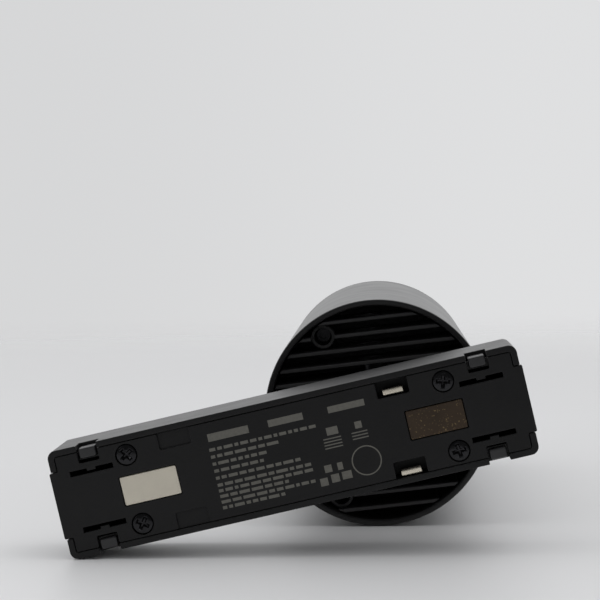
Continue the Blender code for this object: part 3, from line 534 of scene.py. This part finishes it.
def cover_outline():
    """The plate with a tongue at each end and open notches for the latches and contacts."""
    left, right = LEFT_X + COVER_EDGE, RIGHT_X - COVER_EDGE
    edge, tongue = HALF_WIDTH - COVER_EDGE, TONGUE_HALF
    notches = [(x, *LATCH_WINDOW) for x in LATCH_X] + [(x, *RECESS) for x in CONTACT_X]
    upper = [(left, edge)]
    for x, half, depth in sorted(notches):
        upper += [(x - half, edge), (x - half, depth), (x + half, depth), (x + half, edge)]
    upper += [(right, edge), (right, tongue), (RIGHT_X + 0.5, tongue)]
    lower = [(RIGHT_X + 0.5, -tongue), (right, -tongue), (right, -edge)]
    for x, half, depth in sorted(notches, reverse=True):
        lower += [(x + half, -edge), (x + half, -depth), (x - half, -depth), (x - half, -edge)]
    lower += [(left, -edge), (left, -tongue), (LEFT_X - 0.5, -tongue), (LEFT_X - 0.5, tongue),
              (left, tongue)]
    return round_corners(upper + lower, 0.35, 2)


def track_cover():
    half_x, half_z = (half + MAGNET_FIT for half in MAGNET_HALF)
    holes = [rounded_rectangle(x - half_x, x + half_x, -half_z, half_z, 0.35, 3) for x in MAGNET_X]
    nub_half, slit_half = SLIT_X
    for side in (-1, 1):
        holes += [circle(SCREW_SEAT, 48, x, side * SCREW_Z) for x in SCREW_X]
        near, far = side * SLIT_Z[0], side * SLIT_Z[1]
        nub = (near + far) / 2
        for x in LATCH_X:
            holes.append([(x - slit_half, near), (x + slit_half, near), (x + slit_half, far),
                          (x + nub_half, far), (x + nub_half, nub), (x - nub_half, nub),
                          (x - nub_half, far), (x - slit_half, far)])
    cover = plate("track_cover", [cover_outline()] + holes, COVER_TOP, COVER_BACK, 0.14,
                  PAINT["black_plastic"], ADAPTER)
    floors = []
    for side in (-1, 1):
        reach = RECESS[0] + GAP
        low, high = sorted((side * (RECESS[1] - GAP), side * (HALF_WIDTH - COVER_EDGE)))
        outline = rectangle(CONTACT_X[0] - reach, CONTACT_X[0] + reach, low, high)
        floors.append(prism(f"pocket_{side}", outline, "Y", COVER_TOP + POCKET_DEPTH, COVER_BACK - 0.05,
                            PAINT["black_plastic"], ADAPTER))
    cover = joined("track_cover", [cover] + floors)
    belongs(cover, "adapter", "black_plastic", "adapter_cover")


def cross_screw(name, x, z, top, body, node):
    """A low-headed screw with a tapered cross recess, each one turned differently."""
    head = [(0.0, top), (1.2, top + 0.03), (2.1, top + 0.12), (2.4, top + 0.24), (SCREW_HEAD, top + 0.42)]
    shank = [(SCREW_HEAD, top + 1.1), (SCREW_SHANK, top + 1.1), (SCREW_SHANK, top + SCREW_LENGTH),
             (0.0, top + SCREW_LENGTH)]
    mesh = bmesh.new()
    add_turned(mesh, head + shank, 48)
    bmesh.ops.translate(mesh, verts=mesh.verts, vec=Vector((x, 0, z)) * MM)
    screw = solid(name, mesh, PAINT["black_steel"], ADAPTER)
    turn = radians(18 + 37 * (len(name) + int(name[-1]) * 3))
    sections = ((2.1, 0.66, -0.5), (1.75, 0.48, 0.04), (1.3, 0.30, 0.75), (0.9, 0.22, 1.0))
    for quarter in (0, 1):
        blade = bmesh.new()
        rings = []
        angle = turn + quarter * pi / 2
        across, up = cos(angle), sin(angle)
        for reach, half, depth in sections:
            corners = rectangle(-reach, reach, -half, half)
            spun = [(x + a * across - b * up, z + a * up + b * across) for a, b in corners]
            rings.append((spun, top + depth))
        add_loft(blade, rings, "Y")
        combine(screw, "DIFFERENCE", blade)
    soften(screw, 0.07, 2, 22)
    belongs(screw, body, "black_steel", node)


def magnet_plates():
    top = COVER_TOP + 0.2
    for side, x, slot in (("left", MAGNET_X[0], "magnet_bright"), ("right", MAGNET_X[1], "magnet_film")):
        half_x, half_z = MAGNET_HALF
        outline = rounded_rectangle(x - half_x, x + half_x, -half_z, half_z, 0.35, 3)
        block = prism(f"magnet_plate_{side}", outline, "Y", top, top + MAGNET_THICK, PAINT[slot], ADAPTER)
        soften(block, 0.18, 2)
        belongs(block, "adapter", slot, f"magnet_{side}")


def latch_blocks():
    """A catch with rounded edges, and the foot that keeps it behind the cover."""
    number = 0
    for side_name, side in (("upper", 1), ("lower", -1)):
        for end_name, x in zip(("left", "right"), LATCH_X):
            number += 1
            half_x, half_z = LATCH_HALF
            low, high = sorted((side * (LATCH_Z - half_z), side * (LATCH_Z + half_z)))
            rings = []
            for inset, y in ((0.45, 0.20), (0.18, 0.28), (0.0, 0.62), (0.0, 5.6)):
                width, low_z, high_z = half_x - inset, low + inset, high - inset
                rings.append((rounded_rectangle(x - width, x + width, low_z, high_z, 0.42), COVER_TOP + y))
            mesh = bmesh.new()
            add_loft(mesh, rings, "Y")
            # the catch takes the lighter copy of the black plastic, which paints light on its faces
            block = solid(f"latch_block_{number}", mesh, PAINT["latch_plastic_painted_lit"], ADAPTER)
            low, high = sorted((side * (LATCH_Z - 1.7), side * (HALF_WIDTH - CASE_WALL - GAP)))
            foot = bmesh.new()
            add_prism(foot, rectangle(x - 4.0, x + 4.0, low, high), "Y", COVER_BACK + GAP, COVER_BACK + 2.2)
            combine(block, "UNION", foot)
            soften(block, 0.08, 2, 50)
            belongs(block, f"latch_{number}", "black_plastic", f"latch_{side_name}_{end_name}")
            leaf_spring(number, x, side, f"latch_spring_{side_name}_{end_name}")


def leaf_spring(number, x, side, node):
    bow = []
    for step in range(25):
        along = -1 + step / 12
        bow.append((x + 3.6 * along, side * (LATCH_Z - 2.0 - 1.3 * (1 - along ** 2))))
    strip = bow + [(a, b - side * 0.3) for a, b in reversed(bow)]
    spring = prism(f"leaf_spring_{number}", strip, "Y", COVER_BACK + 0.5, COVER_BACK + 2.0, PAINT["steel"],
                   ADAPTER)
    soften(spring, 0.06, 1, 50)
    belongs(spring, f"latch_{number}", "steel", node)


def contact_blades():
    """A folded strip of plated metal with a flat nose, one in each recess of the right-hand pair."""
    x = CONTACT_X[1]
    half_x, half_z = CONTACT_HALF
    hollow, bend = 0.30, 0.28
    for number, (name, z) in enumerate(zip(("positive", "negative"), CONTACT_Z), 1):
        nose, tail = COVER_TOP + 0.9, COVER_TOP + 4.8
        outside = [(tail, z - half_z)]
        outside += arc(nose + bend, z - half_z + bend, bend, -pi / 2, -pi, 5)
        outside += arc(nose + bend, z + half_z - bend, bend, pi, pi / 2, 5)
        outside += [(tail, z + half_z), (tail, z + hollow), (nose + 0.35, z + hollow)]
        inside = [(nose + 0.35, z - hollow), (tail, z - hollow)]
        blade = prism(f"contact_blade_{number}", outside + inside, "X", x - half_x, x + half_x,
                      PAINT["contact_metal"], ADAPTER)
        soften(blade, 0.08, 2, 50)
        belongs(blade, f"contact_{number}", "contact_metal", f"contact_{name}")


def printed_marks():
    """Plain bars stand in for the printed plate: a header, rows of short dashes and a few blank shapes."""
    chance = random.Random(7)
    sheet = bmesh.new()
    top, bottom = COVER_TOP - 0.015, COVER_TOP + 0.01

    def bar(x0, x1, z0, z1):
        add_prism(sheet, rectangle(x0, x1, z0, z1), "Y", top, bottom)

    left = LEFT_X + 38.8
    for x, width, z, height in ((0.3, 10.1, 7.1, 1.9), (15.3, 8.6, 7.3, 1.7), (30.1, 9.0, 7.3, 1.6)):
        bar(left + x, left + x + width, z, z + height)
    row_lengths = (26.4, 17.8, 13.4, 12.4, 21.0, 23.2, 23.4, 17.6, 23.8, 16.2)
    z = 5.1
    for row, row_length in enumerate(row_lengths):
        x = left
        while x < left + row_length - 0.8:
            length = min(chance.uniform(0.8, 2.9), left + row_length - x)
            bar(x, x + length, z - 0.38, z + 0.38)
            x += length + 0.5
        z -= 1.75 if row < 5 else 1.4
    for x, z, width, height in ((28.6, 2.1, 2.8, 1.9), (35.6, 2.2, 1.7, 1.7), (26.1, -6.6, 1.8, 1.8),
                                (29.3, -6.6, 1.3, 1.8), (24.4, -9.6, 1.9, 1.9), (27.2, -9.3, 2.0, 2.0),
                                (29.9, -9.1, 2.4, 1.9)):
        bar(left + x, left + x + width, z, z + height)
    for x, width, count in ((27.4, 4.4, 4), (34.4, 3.9, 3)):
        for line in range(count):
            middle = 1.3 - 0.75 * line
            bar(left + x, left + x + width, middle - 0.14, middle + 0.14)
    ring_x, ring_z, ring_radius, ring_width = left + 36.5, -5.8, 3.65, 0.30
    ring = circle(ring_radius, 64, ring_x, ring_z)
    hole = circle(ring_radius - ring_width, 64, ring_x, ring_z)
    section = ((ring, top), (hole, top), (hole, bottom), (ring, bottom))
    rings = [[sheet.verts.new(place(a, b, t, "Y")) for a, b in outline] for outline, t in section]
    for inner, outer in zip(rings, rings[1:] + rings[:1]):
        for k, vertex in enumerate(inner):
            after = (k + 1) % len(inner)
            sheet.faces.new((vertex, inner[after], outer[after], outer[k]))
    marks = solid("printed_marks", sheet, PRINT, ADAPTER)
    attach(marks, "adapter")


# ---------------------------------------------------------------- swivel and arm

def swivel_parts():
    bore, rim = STEM_RADIUS + GAP, STOP_RADIUS - 1.8
    ring = turned("sliding_ring", [(bore, BACK_Y + 0.3), (rim - 0.2, BACK_Y + 0.3), (rim, BACK_Y + 0.5),
                                   (rim, BACK_Y + 1.1), (rim - 0.2, BACK_Y + 1.3), (bore, BACK_Y + 1.3)],
                  PAINT["white_plastic"], HEAD, 96)
    belongs(ring, "arm", "white_plastic", "swivel_ring")
    stem_start, pitch, turns = BACK_Y - 10.0, 0.55, 14
    crest, root = STEM_RADIUS - 0.02, STEM_RADIUS - 0.28
    thread = [(STEM_BORE, STEM_END), (STEM_BORE, stem_start), (root, stem_start)]
    for k in range(turns):
        start = stem_start + 0.2 + pitch * k
        thread += [(root, start), (crest, start + pitch / 2)]
    thread += [(root, stem_start + 0.2 + pitch * turns), (crest, BACK_Y - BACK_WALL), (crest, STEM_END)]
    stem = turned("threaded_stem", thread, PAINT["steel"], HEAD, 64, 20)
    belongs(stem, "arm", "steel", "swivel_stem")


def arm_body():
    """A round base, a collar round the stem and a flat bar with a rounded end for the pivot."""
    edge = 0.8
    base = [(0.0, BASE_START), (BASE_RADIUS - 0.3, BASE_START), (BASE_RADIUS, BASE_START + 0.3)]
    base += [(BASE_RADIUS - edge + edge * cos(t), BASE_END - edge + edge * sin(t))
             for t in [radians(15 * k) for k in range(7)]]
    fillet = 0.7
    base += [(COLLAR_RADIUS + fillet - fillet * sin(t), BASE_END + fillet - fillet * cos(t))
             for t in [radians(22.5 * k) for k in range(5)]]
    base += [(COLLAR_RADIUS, COLLAR_END - 0.4), (COLLAR_RADIUS - 0.4, COLLAR_END), (0.0, COLLAR_END)]
    body = turned("arm_body", base, PAINT["black_paint"], HEAD, 96)
    width, thick = ARM_HALF_WIDTH, ARM_HALF_THICK
    outline = [(-width, BASE_END - 1), (width, BASE_END - 1)] + arc(0.0, PIVOT_Y, width, 0.0, pi, 32)
    bar = bmesh.new()
    add_prism(bar, outline, "Z", -thick, thick)
    side = solid("bar", bar, PAINT["black_paint"], HEAD)
    soften(side, 0.7, 4, 50)
    bar = bmesh.new()
    bar.from_mesh(side.data)
    bpy.data.objects.remove(side, do_unlink=True)
    combine(body, "UNION", bar)
    holes = bmesh.new()
    add_prism(holes, circle(STEM_RADIUS + GAP, 40), "Y", BASE_START - 2, STEM_END + GAP)
    add_prism(holes, circle(1.1, 24, 0.0, STOP_RADIUS), "Y", BASE_START - 2, STOP_PIN_END + 0.2)
    add_prism(holes, circle(PIVOT_HOLE, 40, 0.0, PIVOT_Y), "Z", -6, 6)
    combine(body, "DIFFERENCE", holes)
    channel = bmesh.new()
    add_prism(channel, rounded_rectangle(-1.8, 1.8, -1.8, 1.8, 0.5, 3), "Y", STEM_END - 1, -3.0)
    combine(body, "DIFFERENCE", channel)
    outlet = bmesh.new()
    add_prism(outlet, rounded_rectangle(-6.5, -3.0, -1.75, 1.75, 0.8, 4), "X", 0.0, width + 1)
    combine(body, "DIFFERENCE", outlet)
    flat_normals(body, 45)
    belongs(body, "arm", "black_paint", "arm")


def tilt_parts():
    bolt = prism("tilt_bolt", circle(3.6, 40, 0.0, PIVOT_Y), "Z", 9.1, 12.6, PAINT["black_steel"], HEAD)
    socket = bmesh.new()
    add_prism(socket, circle(1.9, 6, 0.0, PIVOT_Y, 0.0), "Z", 10.8, 14.0)
    combine(bolt, "DIFFERENCE", socket)
    soften(bolt, 0.25, 2, 50)
    shank = bmesh.new()
    add_prism(shank, circle(2.0, 40, 0.0, PIVOT_Y), "Z", -7.6, 9.3)
    bolt = joined("tilt_bolt", [bolt, solid("shank", shank, PAINT["black_steel"], HEAD)])
    belongs(bolt, "head", "black_steel", "pivot_bolt")
    for name, low in (("upper", 3.95), ("lower", -4.75)):
        washer = prism(f"tilt_washer_{name}", circle(6.0, 48, 0.0, PIVOT_Y), "Z", low, low + 0.8,
                       PAINT["white_plastic"], HEAD)
        hole = bmesh.new()
        add_prism(hole, circle(PIVOT_HOLE, 40, 0.0, PIVOT_Y), "Z", low - 1, low + 2)
        combine(washer, "DIFFERENCE", hole)
        soften(washer, 0.12, 2, 50)
        belongs(washer, "head", "white_plastic", f"friction_washer_{name}")


# ---------------------------------------------------------------- head

def head_tube():
    """A drawn tube with rolled rims and a rounded slot for the arm."""
    rim = [(INNER_RADIUS, 0.45), (INNER_RADIUS + 0.15, 0.12), (INNER_RADIUS + 0.45, 0.0),
           (HEAD_RADIUS - 0.45, 0.0), (HEAD_RADIUS - 0.18, 0.07), (HEAD_RADIUS - 0.05, 0.22),
           (HEAD_RADIUS, 0.45), (HEAD_RADIUS, TUBE_END - 0.25), (HEAD_RADIUS - 0.08, TUBE_END - 0.07),
           (HEAD_RADIUS - 0.25, TUBE_END), (INNER_RADIUS, TUBE_END)]
    tube = turned("head_tube", rim, PAINT["black_paint"], HEAD, 192)
    slot = bmesh.new()
    outline = [(-2.0, -SLOT_HALF - 0.6), (-2.0, SLOT_HALF + 0.6)]
    outline += arc(SLOT_DEPTH - 1.5, SLOT_HALF - 0.9, 1.5, pi / 2, 0, 6)
    outline += arc(SLOT_DEPTH - 1.5, 0.9 - SLOT_HALF, 1.5, 0, -pi / 2, 6)
    add_prism(slot, outline, "X", 10.0, 40.0)
    combine(tube, "DIFFERENCE", slot)
    flat_normals(tube, 30)
    belongs(tube, "head", "black_paint", "head_housing")


def fin_section(near, far, side):
    """A fin's outline across the head: straight sides and ends that follow the tube."""
    reach = SINK_RADIUS - 0.1
    near_x, far_x = sqrt(reach ** 2 - near ** 2), sqrt(reach ** 2 - far ** 2)
    return [(-near_x, side * near), (near_x, side * near), (far_x, side * far), (-far_x, side * far)]


def finned_sink():
    sink = turned("finned_sink", [(0.0, SINK_BASE), (SINK_RADIUS, SINK_BASE), (SINK_RADIUS, SINK_END),
                                  (0.0, SINK_END)], PAINT["black_heat_sink"], HEAD, 96)
    fins = bmesh.new()
    for pair in range(FIN_PAIRS):
        middle = (pair + 0.5) * FIN_PITCH
        near, far = middle - FIN_HALF, middle + FIN_HALF
        for side in (-1, 1):
            tip = fin_section(near + 0.22, far - 0.22, side)
            shoulder = fin_section(near + 0.04, far - 0.04, side)
            foot = fin_section(near - 0.12, far + 0.12, side)
            add_loft(fins, [(tip, FIN_TOP), (shoulder, FIN_TOP + 0.25), (foot, SINK_BASE + 1.0)], "Y")
    combine(sink, "UNION", fins)
    block = bmesh.new()
    add_prism(block, rounded_rectangle(-13.0, 13.0, -9.2, 9.2, 2.0, 5), "Y", 2.0, SINK_BASE + 1.5)
    combine(sink, "UNION", block)
    bosses = bmesh.new()
    for x, z in REAR_SCREWS:
        outer = circle(REAR_BOSS_RADIUS, 40, x, z)
        add_loft(bosses, [(circle(REAR_BOSS_RADIUS - 0.2, 40, x, z), REAR_BOSS_START),
                          (outer, REAR_BOSS_START + 0.25), (outer, SINK_BASE + 2.0)], "Y")
    combine(sink, "UNION", bosses)
    holes = bmesh.new()
    for x, z in REAR_SCREWS:
        wide, bore, narrow = (circle(radius, 40, x, z)
                              for radius in (REAR_BOSS_RADIUS + 0.05, REAR_BORE, SCREW_CLEARANCE))
        add_loft(holes, [(wide, FIN_TOP - 1.0), (wide, REAR_BOSS_START), (bore, REAR_BOSS_START),
                         (bore, REAR_SCREW_SEAT), (narrow, REAR_SCREW_SEAT), (narrow, SINK_END + 1.0)], "Y")
    add_prism(holes, circle(LEAD_HOLE[1], 32, LEAD_HOLE[0], 0.0), "Y", SLOT_DEPTH - 1.0, SINK_END + 1.0)
    combine(sink, "DIFFERENCE", holes)
    bore = bmesh.new()
    add_prism(bore, circle(4.1, 40, 0.0, PIVOT_Y), "Z", 8.8, 29.0)
    combine(sink, "DIFFERENCE", bore)
    shank = bmesh.new()
    add_prism(shank, circle(PIVOT_HOLE, 40, 0.0, PIVOT_Y), "Z", -8.0, 10.0)
    combine(sink, "DIFFERENCE", shank)
    slot = bmesh.new()
    add_prism(slot, rectangle(SLOT_BACK, HEAD_RADIUS, -1.2, SLOT_DEPTH), "Z", -SLOT_HALF, SLOT_HALF)
    combine(sink, "DIFFERENCE", slot)
    flat_normals(sink, 25)
    belongs(sink, "head", "black_heat_sink", "heat_sink")


def cap_screw(name, x, z, face, seat, shank_radius, shank_end, socket_depth, node):
    """A cap screw along y, from its face to its shank's end, with a hexagon socket in the face."""
    inward = 1 if seat > face else -1
    head_radius, socket_radius, edge = 2.1, 1.2, 0.25
    profile = [(0.0, face), (head_radius - edge, face), (head_radius, face + inward * edge),
               (head_radius, seat), (shank_radius, seat), (shank_radius, shank_end), (0.0, shank_end)]
    mesh = bmesh.new()
    add_turned(mesh, profile, 40)
    bmesh.ops.translate(mesh, verts=mesh.verts, vec=Vector((x, 0, z)) * MM)
    screw = solid(name, mesh, PAINT["black_steel"], HEAD)
    socket = bmesh.new()
    start, end = sorted((face - inward, face + inward * socket_depth))
    add_prism(socket, circle(socket_radius, 6, x, z), "Y", start, end)
    combine(screw, "DIFFERENCE", socket)
    flat_normals(screw, 30)
    belongs(screw, "head", "black_steel", node)


def front_ring():
    """The front ring: a glass seat, six baffle steps and a rounded lip."""
    seat, tube_joint = GLASS_END + 1.5, TUBE_END + 0.3
    lip = [(HEAD_RADIUS - 0.9 + 0.9 * cos(t), HEAD_END - 0.9 + 0.9 * sin(t))
           for t in [radians(15 * k) for k in range(7)]]
    inside = []
    steps, mouth = 6, HEAD_END - 0.5
    for k in range(steps):
        y, deep = (mouth - (mouth - seat) * step / steps for step in (k, k + 1))
        radius = 27.3 - 2.0 * k / steps
        inside += [(radius, y), (radius - 0.08, deep + 0.12), (radius - 0.33, deep + 0.04)]
    profile = [(25.2, seat), (SINK_RADIUS, seat), (SINK_RADIUS, tube_joint), (HEAD_RADIUS - 0.2, tube_joint),
               (HEAD_RADIUS, tube_joint + 0.2)] + lip + [(27.8, HEAD_END)] + inside
    ring = turned("front_ring", profile, PAINT["black_paint"], HEAD, 192)
    flat_normals(ring, 30)
    belongs(ring, "head", "black_paint", "front_bezel")


def front_lens():
    edge = 0.25
    profile = [(0.0, GLASS_START), (27.5 - edge, GLASS_START), (27.5, GLASS_START + edge),
               (27.5, GLASS_END - edge), (27.5 - edge, GLASS_END), (0.0, GLASS_END)]
    glass = turned("front_lens", profile, PAINT["clear_glass"], HEAD, 128)
    belongs(glass, "head", "clear_glass", "front_glass")
    seal = turned("lens_seal", [(25.6, GLASS_END + 0.3), (27.6, GLASS_END + 0.3), (27.8, GLASS_END + 0.5),
                                (27.8, GLASS_END + 1.2), (25.8, GLASS_END + 1.2), (25.6, GLASS_END + 1.0)],
                  PAINT["seal_rubber"], HEAD, 96)
    belongs(seal, "head", "seal_rubber", "glass_gasket")


def faceted_reflector():
    """A parabolic bowl of staggered flat facets, with a smooth outside and a flange."""
    low, high = (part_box("reflector")[side].y - REAR_Y for side in (0, 1))
    low, high = low / MM, high / MM
    start_radius, end_radius, thick, sides, steps = 9.5, 25.0, 1.0, 40, 13
    steepness = (end_radius ** 2 - start_radius ** 2) / (high - low)
    apex = low - start_radius ** 2 / steepness
    stations = [low + (high - low) * (k / steps) ** 1.25 for k in range(steps + 1)]
    rings = []
    for k, y in enumerate(stations):
        rings.append((circle(sqrt(steepness * (y - apex)), sides, turn=0.5 * (k % 2)), y))
    last, flange_back = 0.5 * (steps % 2), high - 1.2
    flange = circle(27.7, sides, turn=last)
    rings += [(flange, high), (flange, flange_back)]
    for y in [flange_back] + stations[-3::-3] + [low]:
        rings.append((circle(sqrt(steepness * (y - apex)) + thick, sides, turn=last), y))
    mesh = bmesh.new()
    loops = [[mesh.verts.new(place(a, b, t, "Y")) for a, b in outline] for outline, t in rings]
    for number, (inner, outer) in enumerate(zip(loops, loops[1:] + loops[:1])):
        for k, vertex in enumerate(inner):
            after = (k + 1) % sides
            if number < steps and number % 2 == 0:
                mesh.faces.new((vertex, inner[after], outer[k]))
                mesh.faces.new((inner[after], outer[after], outer[k]))
            elif number < steps:
                mesh.faces.new((vertex, inner[after], outer[after]))
                mesh.faces.new((vertex, outer[after], outer[k]))
            else:
                mesh.faces.new((vertex, inner[after], outer[after], outer[k]))
    bowl = solid("faceted_reflector", mesh, PAINT["reflector_mirror"], HEAD, 2)
    belongs(bowl, "head", "reflector_mirror", "reflector")


def light_source():
    board = MOUNT_END + 0.9
    base = prism("led_base", rounded_rectangle(-9.5, 9.5, -9.5, 9.5, 0.8, 3), "Y", board, board + 1.4,
                 PAINT["ceramic"], HEAD)
    soften(base, 0.12, 2, 50)
    belongs(base, "head", "ceramic", "led_cob")
    low = board + 1.6
    dome = [(0.0, low), (7.0, low), (7.0, low + 0.35), (6.8, low + 0.5), (5.0, low + 0.58), (0.0, low + 0.6)]
    belongs(turned("light_surface", dome, PAINT["phosphor"], HEAD, 64), "head", "phosphor", "led_phosphor")
    start, step = MOUNT_END + 0.3, board + 1.7
    profile = [(15.0, start), (18.7, start), (19.0, start + 0.3), (19.0, HOLDER_END - 0.5),
               (18.5, HOLDER_END), (9.6, HOLDER_END), (9.2, HOLDER_END - 0.3), (8.8, step), (15.0, step)]
    holder = turned("led_holder", profile, PAINT["white_plastic"], HEAD, 96)
    holes = bmesh.new()
    for side in (1, -1):
        add_prism(holes, circle(SCREW_HOLE, 32, 0.0, side * HOLDER_SCREW_Z), "Y", MOUNT_END, HOLDER_END + 1)
    combine(holder, "DIFFERENCE", holes)
    flat_normals(holder, 30)
    belongs(holder, "head", "white_plastic", "cob_holder")


# ---------------------------------------------------------------- carried-over nodes

def repaint_cad():
    """Every node that is still shown takes its slot's finish."""
    slots = {part["node"]: part["material_slot"] for part in frame["record"]["subparts"]}
    for name, node in frame["nodes"].items():
        if not node.hide_render:
            node.data.materials.clear()
            node.data.materials.append(PAINT[slots[name]])


# ---------------------------------------------------------------- studio

def fading_table():
    """A round table top that thins out to nothing far away, so that no horizon shows."""
    near, far = 0.32, 1.1
    mesh = bmesh.new()
    bmesh.ops.create_circle(mesh, cap_ends=True, segments=96, radius=far + 0.2)
    data = bpy.data.meshes.new("table")
    mesh.to_mesh(data)
    mesh.free()
    table = bpy.data.objects.new("table", data)
    bpy.context.scene.collection.objects.link(table)
    table.location.z = -0.0002
    finish = surface("table_white", (0.62, 0.62, 0.625), 0.50, spread=0.010, patch=3.0, grain=300.0,
                     depth=0.01)
    nodes, links = finish.node_tree.nodes, finish.node_tree.links
    where = next(node for node in nodes if node.bl_idname == "ShaderNodeTexCoord")
    reach = nodes.new("ShaderNodeVectorMath")
    reach.operation = "LENGTH"
    links.new(where.outputs["Object"], reach.inputs[0])
    fade = nodes.new("ShaderNodeMapRange")
    fade.interpolation_type = "SMOOTHERSTEP"
    fade.inputs["From Min"].default_value = near
    fade.inputs["From Max"].default_value = far
    links.new(reach.outputs["Value"], fade.inputs["Value"])
    clear = nodes.new("ShaderNodeBsdfTransparent")
    mix = nodes.new("ShaderNodeMixShader")
    links.new(fade.outputs["Result"], mix.inputs["Fac"])
    links.new(nodes["Principled BSDF"].outputs["BSDF"], mix.inputs[1])
    links.new(clear.outputs["BSDF"], mix.inputs[2])
    links.new(mix.outputs["Shader"], nodes["Material Output"].inputs["Surface"])
    data.materials.append(finish)


def studio():
    fading_table()
    world = bpy.data.worlds.new("studio")
    bpy.context.scene.world = world
    world.use_nodes = True
    nodes, links = world.node_tree.nodes, world.node_tree.links
    background = nodes["Background"]
    where = nodes.new("ShaderNodeTexCoord")
    split = nodes.new("ShaderNodeSeparateXYZ")
    links.new(where.outputs["Generated"], split.inputs["Vector"])

    def ramp(source, start, end, low, high):
        node = nodes.new("ShaderNodeMapRange")
        node.interpolation_type = "SMOOTHSTEP"
        for name, value in zip(("From Min", "From Max", "To Min", "To Max"), (start, end, low, high)):
            node.inputs[name].default_value = value
        links.new(source, node.inputs["Value"])
        return node.outputs["Result"]

    def choose(ray, otherwise, value):
        """The given value for one kind of ray, and the other one for the rest."""
        node = nodes.new("ShaderNodeMix")
        node.data_type = "FLOAT"
        links.new(rays.outputs[ray], node.inputs["Factor"])
        for name, given in (("A", otherwise), ("B", value)):
            if isinstance(given, float):
                node.inputs[name].default_value = given
            else:
                links.new(given, node.inputs[name])
        return node.outputs["Result"]

    rays = nodes.new("ShaderNodeLightPath")
    reflected = ramp(split.outputs["Y"], -0.55, 0.45, 0.04, 1.12)
    seen = ramp(split.outputs["X"], -0.18, 0.10, 0.685, 0.750)
    level = choose("Is Camera Ray", choose("Is Glossy Ray", 0.84, reflected), seen)
    links.new(level, background.inputs["Strength"])
    background.inputs["Color"].default_value = (0.985, 0.99, 1.0, 1.0)

    def softbox(name, location, target, size, power):
        light = bpy.data.lights.new(name, "AREA")
        light.shape = "RECTANGLE"
        light.size, light.size_y = size
        light.energy = power
        lamp = bpy.data.objects.new(name, light)
        bpy.context.scene.collection.objects.link(lamp)
        lamp.location = location
        lamp.visible_camera = False
        lamp.rotation_euler = (Vector(target) - Vector(location)).to_track_quat("-Z", "Y").to_euler()

    softbox("overhead_left", (-0.42, -0.12, 0.90), (0, -0.03, 0), (0.55, 0.55), 1.0)
    softbox("overhead_right", (0.42, -0.12, 0.90), (0, -0.03, 0), (0.55, 0.55), 1.2)
    softbox("left_fill", (-0.34, -0.28, 0.24), (-0.05, -0.05, 0.02), (0.16, 0.16), 0.14)

    camera_data = bpy.data.cameras.new("camera")
    camera_data.sensor_width = 36.0
    camera_data.lens = 123.98
    camera = bpy.data.objects.new("camera", camera_data)
    bpy.context.scene.collection.objects.link(camera)
    camera.location = Vector((AXIS.x, REAR_Y, AXIS.z)) + Vector((0.908, -544.49, 54.438)) * MM
    pan, down, bank = radians(2.23), radians(2.557), radians(0.80)
    turn = Matrix.Rotation(pan, 3, "Z") @ Matrix.Rotation(pi / 2 - down, 3, "X")
    turn = turn @ Matrix.Rotation(-bank, 3, "Z")
    camera.rotation_euler = turn.to_euler()
    bpy.context.scene.camera = camera
    bpy.context.scene.view_settings.view_transform = "Standard"


def main():
    studio()
    adapter_shell()
    track_cover()
    screw_spots = [(x, side * SCREW_Z) for x in SCREW_X for side in (1, -1)]
    for number, (x, z) in enumerate(screw_spots, 1):
        cross_screw(f"face_screw_{number}", x, z, COVER_TOP + 0.05, "adapter", f"cover_screw_{number}")
    magnet_plates()
    latch_blocks()
    contact_blades()
    printed_marks()
    swivel_parts()
    arm_body()
    tilt_parts()
    head_tube()
    finned_sink()
    for number, (x, z) in enumerate(REAR_SCREWS, 1):
        seat = REAR_SCREW_SEAT - 0.3
        cap_screw(f"rear_cap_screw_{number}", x, z, seat - 3.0, seat, 1.3, REAR_SCREW_END, 1.5,
                  f"rear_screw_{number}")
    for number, z in enumerate((HOLDER_SCREW_Z, -HOLDER_SCREW_Z), 1):
        seat = HOLDER_END + 0.3
        cap_screw(f"holder_cap_screw_{number}", 0.0, z, seat + 1.5, seat, 1.2, MOUNT_END - 3.7, 0.9,
                  f"holder_screw_{number}")
    front_ring()
    front_lens()
    faceted_reflector()
    light_source()
    repaint_cad()


main()
